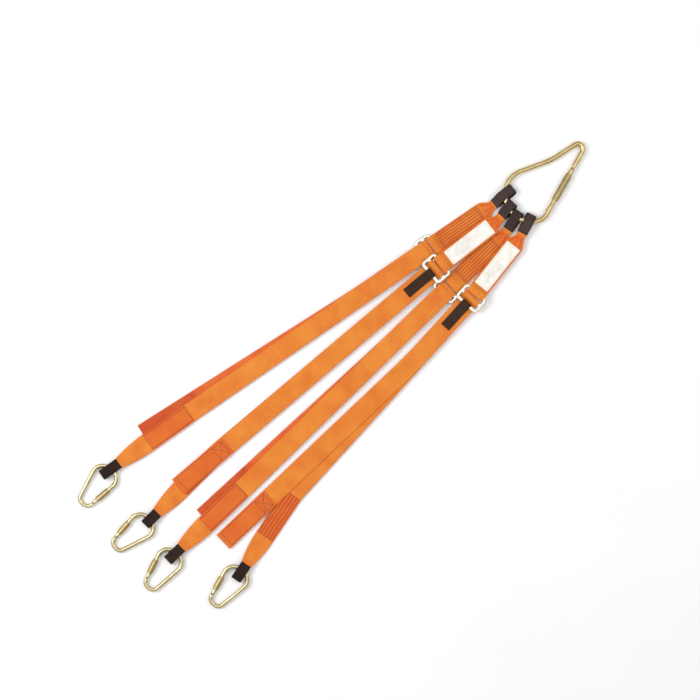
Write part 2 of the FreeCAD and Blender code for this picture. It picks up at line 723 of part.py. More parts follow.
def tapered(half_start, half_end, x_start, x_end, x_low, x_high):
    """The plan of a strip that changes width between two places. Half widths, symmetric about X."""
    upper = [(x_high, half_end), (x_end, half_end), (x_start, half_start), (x_low, half_start)]
    lower = [(x, -y) for x, y in reversed(upper)]
    return polygon(lower + upper)


def upper_strap(leg):
    """Eye round the large karabiner, shoulder, sewn block and loop round the adjuster's top bar."""
    label = leg.name + "upper_strap"
    half, eye_half = dim("webbing_width") / 2, dim("upper_eye_width") / 2
    block_end = dim("shoulder_length") + dim("block_length") + 1
    bar_x, bar_gap = leg.upper_length + dim("adjuster_bar") / 2, 0.4
    spread = dim("adjuster_bar") / 2 - BAR_HALF + 2.0
    bar = [(bar_x - spread, leg.bar_world_z, BAR_HALF + bar_gap + T),
           (bar_x + spread, leg.bar_world_z, BAR_HALF + bar_gap + T)]
    outer = [(-1.0, leg.block_z, BLOCK_HALF - 0.4), (5.0, leg.block_z, BLOCK_HALF),
             (block_end, leg.block_z, BLOCK_HALF)] + bar
    hole = [(block_end + 4, leg.block_z * 0.7 + leg.bar_world_z * 0.3, 0.0)] + grown(bar, -T)
    slab = eye_loop(label + "_slab", outer, hole, "#webbing_width + 4")
    plan = tapered(eye_half, half, 0.0, dim("shoulder_length"), -20, leg.upper_length + 30)
    shaped = common(label + "_shaped", slab, plan_slab(label + "_width", plan, -10, 60))
    outer, hole = upper_eye_circles(leg)
    into_upper = leg.upper().inverse().multiply(leg.upper_eye())
    eye = eye_loop(label + "_eye", outer, hole, "#upper_eye_width", into_upper)
    return keep(fuse(label, [shaped, eye]), label, leg.upper())


def upper_eye_circles(leg):
    """The outer and inner circles of a leg's upper eye, from its closed end to the sewn block."""
    rod = rod_circles(leg.eye_reach, MASTER, master_place(), leg.upper_eye(), dim("upper_eye_width"),
                      MASTER_EYE + T)
    length = math.dist(leg.rod, leg.shoulder)
    outer = rod + [(length + 2, leg.block_z, BLOCK_HALF - 0.05)]  # ends inside the block
    return outer, grown(rod, -T) + [(length - 4, leg.block_z, 0.0)]


def lower_eye_circles(leg):
    """The same for the lower eye, whose plies come together before the long taper."""
    place = leg.lower().multiply(leg.lower_eye())
    rod = rod_circles(leg.low_reach, SMALL, leg.hook(), place, dim("lower_eye_width"), SMALL_EYE + T)
    block_z = T - BLOCK_HALF
    block_x = math.dist(leg.block, leg.eye) - dim("block_length")
    gather = (block_x * 0.45, block_z * 0.7 + rod[0][1] * 0.3, BLOCK_HALF + 0.4)
    outer = rod + [gather, (block_x + 2, block_z, BLOCK_HALF - 0.05)]  # ends inside the block
    return outer, grown(rod, -T) + [(gather[0] - 2, gather[1], 0.0)]


def lower_strap(leg):
    """The long standing ply, its sewn block and the eye round the small karabiner."""
    label = leg.name + "lower_strap"
    half, eye_half = dim("webbing_width") / 2, dim("lower_eye_width") / 2
    lap_low = T - LAP
    ply = polygon([(LAP_START + 1, lap_low), (LAP_END + 0.5, lap_low), (LAP_END + 0.5, 0),
                   (leg.run + 4, 0), (leg.run + 4, T), (LAP_START + 1, T)])
    run = side_slab(label + "_ply", ply, "#webbing_width")
    block = box_outline(-1, dim("block_length") + 1, T - 2 * BLOCK_HALF, T)
    block = side_slab(label + "_block", block, "#webbing_width", leg.lower_end())
    outer, hole = lower_eye_circles(leg)
    place = leg.lower_eye()
    eye = eye_loop(label + "_eye_side", outer, hole, "#webbing_width + 4", place)
    block_x = outer[-1][0] - 2
    taper_start = max(block_x - dim("taper_length"), leg.low_cover + 0.5)
    taper = tapered(eye_half, half, taper_start, block_x, -60, block_x + 10)
    width = plan_slab(label + "_eye_width", taper, -30, 40, place)
    eye = common(label + "_eye_shape", eye, width)
    # The eye is a solid of its own, 0.1 mm beyond the block, so that its collision shape stays open.
    beside = plan_slab(label + "_eye_limit", box_outline(-60, dim("block_length") + 1.1, -60, 60), -30, 40,
                       leg.lower_end())
    whole = doc.addObject("Part::Compound", label)
    whole.Links = [fuse(label + "_sewn", [run, block]), cut(label + "_eye", eye, beside)]
    return keep(whole, label, leg.lower())


def strap_wrap(leg):
    """The webbing's turn round the adjuster's middle bar, with a thin lap under each moving ply."""
    label = leg.name + "strap_wrap"
    bar, slot = dim("adjuster_bar"), (dim("adjuster_length") - 3 * dim("adjuster_bar")) / 2
    middle = bar + slot  # upper edge of the middle bar
    clear = 0.4 + T / 2
    under, over = BAR_Z - BAR_HALF - clear, BAR_Z + BAR_HALF + clear
    standing, tail = T / 2, TAIL_Z + T / 2
    path = [(LAP_START, standing, 0), (middle + bar + 2, standing, 4), (middle + 3.5, under, 4),
            (middle - clear, under, 2.3), (middle - clear, over, 2.3), (middle + bar + 1, over, 2.2),
            (middle + bar + 5.5, tail, 2.2), (LAP_START, tail, 0)]
    turn = side_slab(label + "_turn", band(path, T), "#webbing_width")
    laps = [(label + "_standing_lap", 0.0), (label + "_tail_lap", TAIL_Z)]
    flat = [side_slab(name, box_outline(LAP_START - 1, LAP_END, z, z + LAP), "#webbing_width")
            for name, z in laps]
    return keep(fuse(label, [turn] + flat), label, leg.lower())


def tail_strap(leg):
    """The free tail, from its lap beside the adjuster to its folded and stitched end."""
    label = leg.name + "tail"
    start, full = LAP_END + 1, LAP_END + dim("travel") + 1
    fold, end = leg.tail_end - dim("tail_fold_length"), leg.tail_end
    lap_low, top = TAIL_Z + T - LAP, TAIL_Z + T
    thick = TAIL_Z + 2 * T + GAP
    side = polygon([(start, lap_low), (full, lap_low), (full, TAIL_Z), (end, TAIL_Z), (end, thick - 0.6),
                    (end - 1.5, thick), (fold + 1, thick), (fold, top), (start, top)])
    ply = side_slab(label + "_side", side, "3 * #webbing_width")
    half = dim("webbing_width") / 2
    drift = leg.tail_drift if leg.face_down else -leg.tail_drift
    bend = full + 6
    plan = [(start - 1, -half), (bend, -half), (end + 1, drift - half),
            (end + 1, drift + half), (bend, half), (start - 1, half)]
    width = plan_slab(label + "_width", polygon(plan), -5, 20)
    return keep(common(label, ply, width), label, leg.lower())


def adjuster(leg):
    """The one-piece slide: a rounded plate with two slots, which leave three bars."""
    label = leg.name + "adjuster"
    length, bar = dim("adjuster_length"), dim("adjuster_bar")
    half, slot_half = dim("adjuster_width") / 2, dim("adjuster_slot_width") / 2
    slot = (length - 3 * bar) / 2
    body = new_body(label)
    edges = rounded_box(0, length, -half, half, dim("adjuster_corner"))
    for start in (bar, 2 * bar + slot):
        edges += rounded_box(start, start + slot, -slot_half, slot_half, dim("adjuster_slot_corner"))
    plate = pad(body, sketch_on(body, "XY_Plane", edges, label + "_plan"), "#adjuster_thickness",
                label + "_plate")
    doc.recompute()
    flat = dim("adjuster_thickness") / 2 - 1e-3
    names = [f"Edge{n}" for n, edge in enumerate(plate.Shape.Edges, start=1)
             if all(abs(v.Z) > flat for v in edge.Vertexes) and edge.BoundBox.ZLength < 1e-3]
    rounded = body.newObject("PartDesign::Fillet", label + "_rounded")
    rounded.Base = (plate, names)
    bind(rounded, "Radius", "#adjuster_edge")
    body.Tip = rounded
    return keep(body, label, leg.lower().multiply(Placement(Vector(0, 0, BAR_Z), Rotation())))


def release_tab(leg):
    """The pull tab: narrow webbing looped round the adjuster's lower bar, its two plies sewn."""
    label = leg.name + "release_tab"
    thick = dim("tab_thickness")
    bar_x = dim("adjuster_length") - dim("adjuster_bar") / 2
    spread = dim("adjuster_bar") / 2 - BAR_HALF + 0.8
    inner = BAR_HALF + 0.4
    bar = [(-spread, 0.0, inner + thick), (spread, 0.0, inner + thick)]
    low = -(inner + thick) + thick
    end = dim("tab_length")
    outer = bar + [(24.0, low, thick), (end, low, thick)]
    hole = grown(bar, -thick) + [(19.0, low, 0.0)]
    loop = eye_loop(label, outer, hole, "#tab_width")
    droop = -TAB_DROOP if leg.face_down else 0.0
    on_bar = Placement(Vector(bar_x, 0, BAR_Z), Rotation(Y_AXIS, droop))
    return keep(loop, label, leg.lower().multiply(on_bar))


def label_patch(leg):
    """The blank white label sewn on the block's face."""
    name = leg.name + "label"
    body = new_body(name)
    start, half = dim("shoulder_length") - 2, dim("label_width") / 2
    edges = rounded_box(start, start + dim("label_length"), -half, half, 1.5)
    pad(body, sketch_on(body, "XY_Plane", edges, name + "_plan"), "#label_thickness", name + "_patch",
        symmetric=False)
    face = BLOCK_HALF + 0.1
    height = leg.block_z - face - dim("label_thickness") if leg.face_down else leg.block_z + face
    return keep(body, name, leg.upper().multiply(Placement(Vector(0, 0, height), Rotation())))


def build():
    karabiner(MASTER, "master_", master_place(), False)
    for leg in LEGS:
        upper_strap(leg)
        outer, hole = upper_eye_circles(leg)
        anti_chafe_sleeve(leg.name + "upper_sleeve", outer, hole, leg.eye_cover, "upper_eye_width",
                          leg.upper_eye())
        label_patch(leg)
        adjuster(leg)
        release_tab(leg)
        strap_wrap(leg)
        lower_strap(leg)
        tail_strap(leg)
        outer, hole = lower_eye_circles(leg)
        anti_chafe_sleeve(leg.name + "lower_sleeve", outer, hole, leg.low_cover, "lower_eye_width",
                          leg.lower().multiply(leg.lower_eye()))
        karabiner(SMALL, leg.name, leg.hook(), True)


def check_and_export():
    doc.recompute()
    failed = [o.Name for o in doc.Objects if {"Invalid", "Error"} & set(o.State)]
    bad = [o.Label for o in SUBPARTS if o.Shape.isNull() or not o.Shape.isValid() or not o.Shape.Solids]
    fused = [o for o in doc.Objects if o.TypeId == "Part::MultiFuse"]
    bad += [o.Label for o in fused if o.Shape.Volume < max(s.Shape.Volume for s in o.Shapes)]
    if failed or bad:
        raise RuntimeError(f"failed features {failed}, bad sub-parts {bad}")
    os.makedirs("parts", exist_ok=True)
    for part in SUBPARTS:
        part.Shape.exportStep(f"parts/{part.Label}.step")
    print(len(SUBPARTS), "sub-parts written")


build()
check_and_export()
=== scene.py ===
import json
import math

import bpy
import numpy as np
from mathutils import Matrix, Vector


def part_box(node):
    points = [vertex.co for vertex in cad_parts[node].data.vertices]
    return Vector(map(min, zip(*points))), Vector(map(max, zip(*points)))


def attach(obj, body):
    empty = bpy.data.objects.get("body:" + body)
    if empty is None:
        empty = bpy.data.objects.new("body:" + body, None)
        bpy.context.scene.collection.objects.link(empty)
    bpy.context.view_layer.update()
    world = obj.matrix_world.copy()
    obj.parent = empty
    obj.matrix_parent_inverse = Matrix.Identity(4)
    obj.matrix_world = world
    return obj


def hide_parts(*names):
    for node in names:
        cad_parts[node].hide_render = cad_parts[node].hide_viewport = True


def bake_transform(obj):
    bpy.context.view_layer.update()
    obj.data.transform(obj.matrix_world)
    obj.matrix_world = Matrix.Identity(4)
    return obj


# A four-leg webbing lifting bridle, laid flat. The metal parts are the frame's own nodes with better
# materials. The webbing, its stitching, the sleeves, labels and pull tabs are built here, ply by ply,
# along the same lines as the frame's soft solids. Lengths are in millimetres until a mesh is made.

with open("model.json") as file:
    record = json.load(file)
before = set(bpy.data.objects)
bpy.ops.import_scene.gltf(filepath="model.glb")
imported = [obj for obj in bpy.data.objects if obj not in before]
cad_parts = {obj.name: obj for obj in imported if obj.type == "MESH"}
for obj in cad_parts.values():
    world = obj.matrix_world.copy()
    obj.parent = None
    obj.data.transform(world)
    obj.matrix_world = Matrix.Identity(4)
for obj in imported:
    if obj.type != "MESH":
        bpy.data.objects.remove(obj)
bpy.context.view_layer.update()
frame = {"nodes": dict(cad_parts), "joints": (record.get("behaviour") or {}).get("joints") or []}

MM = 0.001
NODES = frame["nodes"]
JOINTS = {joint["name"]: joint for joint in frame["joints"]}

# ---------------------------------------------------------------- dimensions

# The frame's driving dimensions, and a few that only these meshes have.

T, GAP = 2.0, 0.25  # webbing thickness, and the gap between plies
PITCH = T + GAP
PLY = PITCH / 2  # from the middle of two plies to the middle of each
SLEEVE_GAP, SLEEVE_WALL = 0.1, 0.8
SKIN = SLEEVE_GAP + SLEEVE_WALL
WEB_HALF = 22.5
EYE_HALF, LOWER_EYE_HALF = 11.0, 11.4
SLEEVE_HALF, LOWER_SLEEVE_HALF = 11.8, 12.6  # only here: a little wider than the frame's
MASTER_EYE, SMALL_EYE = 7.65, 6.5  # inner radius of the eyes
TIP_RADIUS = 3.4  # outer radius of the closed end of an eye that reaches past its rod
LABEL_START, LABEL_LENGTH, LABEL_HALF, LABEL_THICK = 22.0, 122.0, 18.5, 0.5
LABEL_OFFSET = PLY + T / 2 + 0.1 + LABEL_THICK / 2  # from the block's middle to the label's
SHOULDER, BLOCK = 24.0, 122.0
UPPER_BLOCK_END = SHOULDER + BLOCK + 1.0
FOLD = 150.0  # length of the tail's folded end
BAR, BAR_Z, BAR_HALF = 8.0, 8.5, 2.3  # the adjuster's bars: width, middle height, half thickness
BAR_GAP = 0.4  # between a bar and what is looped round it
MIDDLE = 17.5  # upper edge of the adjuster's middle bar
LOWER_BAR_X = 39.0
LAP_START, TRAVEL = 50.0, 80.0
TAB_THICK, TAB_HALF, TAB_LENGTH, TAB_DROOP = 1.2, 12.0, 73.0, -3.6
BLOCK_MID = T - PITCH + GAP / 2  # middle height of two plies, in the lower strap's frame

# Rows of stitching along the webbing, as their places across it, and half the length of rows across.

EDGE_ROW = 18.5
UPPER_ROWS = [-13.0, -6.5, 0.0, 6.5, 13.0]
LOWER_ROWS = [-12.0, -4.0, 4.0, 12.0]
UPPER_ACROSS, LOWER_ACROSS = 18.0, 19.0

RUN_STEP, LOOP_STEP = 3.2, 1.8  # between a mesh's rings, along straight runs and round eyes
EDGE_TONE = 0.45  # how much darker the selvedges are


class Leg:
    """One leg's lengths, and its frames worked out from the joints and nodes."""

    def __init__(self, name, face_down, run, tail_end, tail_drift, lean):
        self.name, self.face_down, self.run = name, face_down, run
        self.tail_end, self.tail_drift = tail_end, tail_drift
        self.lean = lean  # how far the eye's plies lie to one side of each other, for each unit of height
        self.lower = self.lower_frame()
        self.seed = sum(ord(c) for c in name)
        self.stitched = name == "leg_d_"  # this leg's lower block has rows of stitching along it
        label_low, label_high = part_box(name + "label")
        centre = (label_low + label_high) / (2 * MM)
        adjuster = self.lower.translation
        ahead = Vector((adjuster.x - centre.x, adjuster.y - centre.y, 0)).normalized()
        start = centre - ahead * (LABEL_START + LABEL_LENGTH / 2)
        side = Vector((-ahead.y, ahead.x, 0))
        self.upper = frame_matrix(ahead, side, Vector((0, 0, 1)), Vector((start.x, start.y, 0)))
        self.block_z = centre.z + LABEL_OFFSET if face_down else centre.z - LABEL_OFFSET
        self.upper_length = (self.upper.inverted() @ adjuster).x
        self.bar_z = (self.lower @ Vector((BAR / 2, 0, BAR_Z))).z

    def lower_frame(self):
        """X runs down the leg from the adjuster's top edge, Z points to the front of the webbing."""
        x = Vector(JOINTS[self.name + "length_adjust"]["axis"]).normalized()
        z = Vector((0, 0, -1 if self.face_down else 1))
        y = z.cross(x)
        bar = Vector(JOINTS[self.name + "adjuster_tilt"]["pos_m"]) / MM
        return frame_matrix(x, y, z, bar - x * (BAR / 2) - z * BAR_Z)


def frame_matrix(x, y, z, origin):
    matrix = Matrix((x, y, z)).transposed().to_4x4()
    matrix.translation = origin
    return matrix


LEGS = [
    Leg("leg_a_", True, run=693.5, tail_end=812, tail_drift=22, lean=0.3),
    Leg("leg_b_", False, run=683.9, tail_end=806, tail_drift=2, lean=0.3),
    Leg("leg_c_", True, run=687.1, tail_end=798, tail_drift=18, lean=0.28),
    Leg("leg_d_", False, run=634.7, tail_end=829, tail_drift=-46, lean=-0.12),
]

# ---------------------------------------------------------------- lines


def belt(circles, step):
    """Points along a belt run counter-clockwise round circles (s, z, radius)."""
    runs = []
    for (s0, z0, r0), (s1, z1, r1) in zip(circles, circles[1:] + circles[:1]):
        length = math.hypot(s1 - s0, z1 - z0)
        normal = math.atan2(z1 - z0, s1 - s0) - math.pi / 2 + math.asin((r0 - r1) / length)
        n = (math.cos(normal), math.sin(normal))
        runs.append((normal, (s0 + r0 * n[0], z0 + r0 * n[1]), (s1 + r1 * n[0], z1 + r1 * n[1])))
    points = []
    for (s, z, r), before, after in zip(circles, runs[-1:] + runs[:-1], runs):
        turn = (after[0] - before[0] + math.pi) % (2 * math.pi) - math.pi
        if turn < -math.pi / 2:
            turn += 2 * math.pi
        if turn > 1e-3:
            count = max(2, int(r * turn / step * 2) + 1)
            for k in range(count + 1):
                angle = before[0] + turn * k / count
                points.append((s + r * math.cos(angle), z + r * math.sin(angle)))
        else:
            points.append(((before[2][0] + after[1][0]) / 2, (before[2][1] + after[1][1]) / 2))
    return np.array(points)


def chain_belt(chain, step):
    """Up one side of a chain of circles and back down the other."""
    return belt(chain + chain[-2:0:-1], step)


def closed_line(chain, spacing=LOOP_STEP, step=2.0):
    """The belt round a chain of circles, as evenly spaced points."""
    return evenly(chain_belt(chain, step), spacing, closed=True)


def rounded_route(corners, step=1.0):
    """Points along straight runs with an arc at each corner (s, z, radius)."""
    points = [corners[0][:2]]
    for before, corner, after in zip(corners, corners[1:], corners[2:]):
        a = math.atan2(corner[1] - before[1], corner[0] - before[0])
        b = math.atan2(after[1] - corner[1], after[0] - corner[0])
        turn = (b - a + math.pi) % (2 * math.pi) - math.pi
        reach, side = corner[2] * math.tan(abs(turn) / 2), math.copysign(1, turn)
        start = (corner[0] - reach * math.cos(a), corner[1] - reach * math.sin(a))
        centre = (start[0] - side * corner[2] * math.sin(a), start[1] + side * corner[2] * math.cos(a))
        count = max(2, int(corner[2] * abs(turn) / step) + 1)
        for k in range(count + 1):
            angle = a - side * math.pi / 2 + turn * k / count
            points.append((centre[0] + corner[2] * math.cos(angle), centre[1] + corner[2] * math.sin(angle)))
    points.append(corners[-1][:2])
    return np.array(points)


def evenly(points, step, closed=False):
    """The same line with points at even spacing."""
    points = np.asarray(points, float)
    if closed:
        points = np.vstack([points, points[:1]])
    gaps = np.linalg.norm(np.diff(points, axis=0), axis=1)
    keep = np.concatenate([[True], gaps > 1e-6])
    points, length = points[keep], np.concatenate([[0], np.cumsum(gaps[gaps > 1e-6])])
    count = max(3, int(round(length[-1] / step)))
    at = np.linspace(0, length[-1], count + 1)
    out = np.stack([np.interp(at, length, points[:, k]) for k in range(points.shape[1])], axis=1)
    return out[:-1] if closed else out


def relaxed(points, rounds, closed=False):
    """Rounds off the corners of a line of points."""
    points = points.copy()
    for _ in range(rounds):
        if closed:
            points = 0.5 * points + 0.25 * (np.roll(points, 1, 0) + np.roll(points, -1, 0))
        else:
            points[1:-1] = 0.5 * points[1:-1] + 0.25 * (points[:-2] + points[2:])
    return points


class Course:
    """A strap's line in plan: straight runs joined by soft bends. It turns (s, across, z) to metres."""

    def __init__(self, matrix, corners, bend=12):
        corners = np.array(corners, float)
        lengths = np.concatenate([[0], np.cumsum(np.linalg.norm(np.diff(corners, axis=0), axis=1))])
        lengths += corners[0, 0]
        self.s = np.arange(lengths[0], lengths[-1] + 1, 1.0)
        line = np.stack([np.interp(self.s, lengths, corners[:, k]) for k in (0, 1)], axis=1)
        padded = np.vstack([2 * line[0] - line[bend:0:-1], line, 2 * line[-1] - line[-2:-bend - 2:-1]])
        window = np.ones(2 * bend + 1) / (2 * bend + 1)
        self.xy = np.stack([np.convolve(padded[:, k], window, "valid") for k in (0, 1)], axis=1)
        slope = np.gradient(self.xy, axis=0)
        self.turn = np.unwrap(np.arctan2(slope[:, 1], slope[:, 0]))
        self.matrix = np.array(matrix)

    def place(self, s, across, z):
        s, across, z = np.broadcast_arrays(s, across, z)
        x, y = np.interp(s, self.s, self.xy[:, 0]), np.interp(s, self.s, self.xy[:, 1])
        turn = np.interp(s, self.s, self.turn)
        local = np.stack([x - np.sin(turn) * across, y + np.cos(turn) * across, z, np.ones_like(x)], axis=-1)
        return (local @ self.matrix.T)[..., :3] * MM


def smoothstep(low, high, x):
    t = np.clip((np.asarray(x, float) - low) / (high - low), 0, 1)
    return t * t * (3 - 2 * t)


def ripple(leg, s, across):
    """The slight unevenness of webbing that lies free. A strap and its tail share it."""
    free = smoothstep(70, 150, s) * (1 - smoothstep(leg.run - 60, leg.run, s))
    long = np.sin(s / 41.0 + leg.seed) + 0.6 * np.sin(s / 17.3 + across / 11.0 + 2.1 * leg.seed)
    return 0.18 * free * long


# ---------------------------------------------------------------- meshes


def new_object(name, vertices, faces, uv=None, smooth_angle=50):
    mesh = bpy.data.meshes.new(name)
    mesh.from_pydata(np.asarray(vertices).tolist(), [], faces)
    if uv is not None:
        layer = mesh.uv_layers.new(name="weave")
        layer.data.foreach_set("uv", np.asarray(uv, np.float32).ravel())
    mesh.validate()
    mesh.polygons.foreach_set("use_smooth", [True] * len(mesh.polygons))
    mesh.set_sharp_from_angle(angle=math.radians(smooth_angle))
    obj = bpy.data.objects.new(name, mesh)
    bpy.context.scene.collection.objects.link(obj)
    return obj


def section(columns, radius):
    """A ply's cross-section: (share of the flat half width, part of the edge's radius, side)."""
    flats = [(u, 0.0, 1.0) for u in columns]
    edge = [math.pi / 2 - math.pi * k / 6 for k in range(1, 6)]
    right = [(1.0, math.cos(a) * radius, math.sin(a)) for a in edge]
    left = [(-1.0, -math.cos(a) * radius, -math.sin(a)) for a in edge]
    return flats + right + [(u, 0.0, -1.0) for u in reversed(columns)] + left


def even_columns(count):
    return [-1 + 2 * k / count for k in range(count + 1)]


def ribbon(name, course, points, half_width, thickness, closed=False, columns=None, relief=None,
           wave=None, hollow=0.0, skew=None, tone=None):
    """One ply of webbing along points (s, z), with round selvedges.

    half_width is a number or a function of s. relief(s, across, side) raises the faces, wave(s,
    across) lifts the whole ply, skew(s, z) moves it sideways, and hollow is the wall's thickness where
    the ply is a tube. tone(s, across), from 0 to 1, is how much darker the cloth looks there.
    """
    points = np.asarray(points, float)
    tangent = np.roll(points, -1, 0) - np.roll(points, 1, 0)
    if not closed:
        tangent[0], tangent[-1] = points[1] - points[0], points[-1] - points[-2]
    tangent /= np.linalg.norm(tangent, axis=1)[:, None]
    normal = np.stack([-tangent[:, 1], tangent[:, 0]], axis=1)
    steps = np.linalg.norm(np.diff(np.vstack([points, points[:1]]), axis=0), axis=1)
    along = np.concatenate([[0], np.cumsum(steps)])
    half = half_width(points[:, 0]) if callable(half_width) else np.full(len(points), float(half_width))

    def skin(shrink):
        radius = thickness / 2 - shrink
        shape = np.array(section(columns or even_columns(16), radius))
        across = shape[:, 0] * (half[:, None] - thickness / 2) + shape[:, 1]
        out = shape[:, 2] * radius * np.ones_like(across)
        s, z = points[:, :1] + normal[:, :1] * out, points[:, 1:] + normal[:, 1:] * out
        if relief is not None:
            lift = relief(s, across, shape[:, 2] * np.sign(normal[:, 1:] + 1e-9)) * np.abs(shape[:, 2]) ** 4
            s = s + normal[:, :1] * lift * shape[:, 2]
            z = z + normal[:, 1:] * lift * shape[:, 2]
        if wave is not None:
            z = z + wave(s, across)
        side = skew(points[:, :1], points[:, 1:]) if skew is not None else 0.0
        edge = np.abs(across) > half[:, None] - thickness / 2 + 0.01
        dark = np.clip(tone(s, across) if tone is not None else 0.0 * s, 0, 1)
        return course.place(s, across + side, z), across, np.maximum(dark, EDGE_TONE * edge)

    skins = [skin(0.0)] + ([skin(hollow)] if hollow else [])
    rings, sides = skins[0][1].shape
    vertices = np.vstack([part[0].reshape(-1, 3) for part in skins])
    faces, uv = [], []
    for layer, (_, across, _) in enumerate(skins):
        base = layer * rings * sides
        for j in range(rings if closed else rings - 1):
            k = (j + 1) % rings
            for i in range(sides):
                m = (i + 1) % sides
                quad = [(j, i, j), (j, m, j), (k, m, j + 1), (k, i, j + 1)]
                quad = quad[::-1] if layer else quad
                faces.append([base + ring * sides + side for ring, side, _ in quad])
                uv += [(along[at] * MM, across[ring, side] * MM) for ring, side, at in quad]
    if not closed:
        for ring, flip in ((0, False), (rings - 1, True)):
            outer = [ring * sides + i for i in range(sides)]
            if hollow:
                inner = [rings * sides + v for v in outer]
                quads = [[outer[i], inner[i], inner[(i + 1) % sides], outer[(i + 1) % sides]]
                         for i in range(sides)]
            else:
                quads = [outer[::-1]]
            for quad in quads:
                quad = quad[::-1] if flip else quad
                faces.append(quad)
                uv += [(along[ring] * MM, 0.0)] * len(quad)
    obj = new_object(name, vertices, faces, uv)
    shade = obj.data.attributes.new("shade", "FLOAT", "POINT")
    shade.data.foreach_set("value", np.concatenate([part[2].ravel() for part in skins]).astype(np.float32))
    return obj


def stitches(name, course, rows, pitch=3.4, length=2.9, radius=0.58):
    """Rows of thread. Each row is (corners in s and across, height, side the thread stands on).

    Each stitch is a mesh of its own, which thins towards its ends and dips into the cloth there.
    """
    around, rings = 6, 5
    share = np.linspace(-1, 1, rings)
    vertices, faces = [], []
    for corners, height, side in rows:
        corners = np.array(corners, float)
        for start, end in zip(corners, corners[1:]):
            span = np.linalg.norm(end - start)
            count = max(1, int(round(span / pitch)))
            forward = (end - start) / span
            cross = np.array([-forward[1], forward[0]])
            for n in range(count):
                middle = start + (end - start) * (n + 0.5) / count
                base = len(vertices)
                for a in share:
                    thick = radius * (1 - 0.35 * a * a)
                    lift = radius * (0.55 - 1.1 * a * a)
                    for k in range(around):
                        angle = 2 * math.pi * k / around
                        at = middle + forward * a * length / 2 + cross * thick * math.cos(angle)
                        z = height + side * (lift + thick * math.sin(angle))
                        vertices.append((at[0], at[1], z))
                for j in range(rings - 1):
                    for k in range(around):
                        m = (k + 1) % around
                        faces.append([base + j * around + k, base + j * around + m,
                                      base + (j + 1) * around + m, base + (j + 1) * around + k])
                faces.append([base + k for k in range(around)][::-1])
                faces.append([base + (rings - 1) * around + k for k in range(around)])
    vertices = np.array(vertices)
    placed = course.place(vertices[:, 0], vertices[:, 1], vertices[:, 2])
    return new_object(name, placed, faces, smooth_angle=80)


def rectangle(s_low, s_high, half):
    return [(s_low, -half), (s_high, -half), (s_high, half), (s_low, half), (s_low, -half)]


def row_along(across, s_low, s_high, height, side):
    return [(s_low, across), (s_high, across)], height, side


def row_across(s, half, height, side):
    return [(s, -half), (s, half)], height, side


def crossed_box(s_low, s_high, half, height, side):
    return [(rectangle(s_low, s_high, half), height, side),
            ([(s_low, -half), (s_high, half)], height, side),
            ([(s_low, half), (s_high, -half)], height, side)]


def pressed(lines, s_low, s_high, depth=0.3, width=1.1):
    """Relief that draws the cloth in along lengthwise rows of stitching."""
    def relief(s, across, side):
        inside = smoothstep(s_low - 1, s_low + 1, s) * (1 - smoothstep(s_high - 1, s_high + 1, s))
        dip = sum(np.exp(-((across - line) / width) ** 2) for line in lines)
        return -depth * inside * dip
    return relief


def sewn_tone(lines, s_low, s_high, cloth=0.3, seam=0.95, width=1.3):
    """The darker look of a sewn block, and painted shade in the grooves along its rows of stitching. Seam is
    how dark that painted groove shade is.
    """
    def tone(s, across):
        inside = smoothstep(s_low - 2.5, s_low, s) * (1 - smoothstep(s_high, s_high + 2.5, s))
        groove_shade = sum(np.exp(-((across - line) / width) ** 2) for line in lines)
        return inside * (cloth + (seam - cloth) * np.clip(groove_shade, 0, 1))
    return tone


def row_columns(lines, half):
    """Columns for a ply that has lengthwise rows of stitching."""
    flat = half - T / 2
    at = set(even_columns(16))
    for line in lines:
        at |= {(line + step) / flat for step in (-1.4, -0.7, 0.0, 0.7, 1.4)}
    return sorted(u for u in at if -1 <= u <= 1)


# ---------------------------------------------------------------- materials


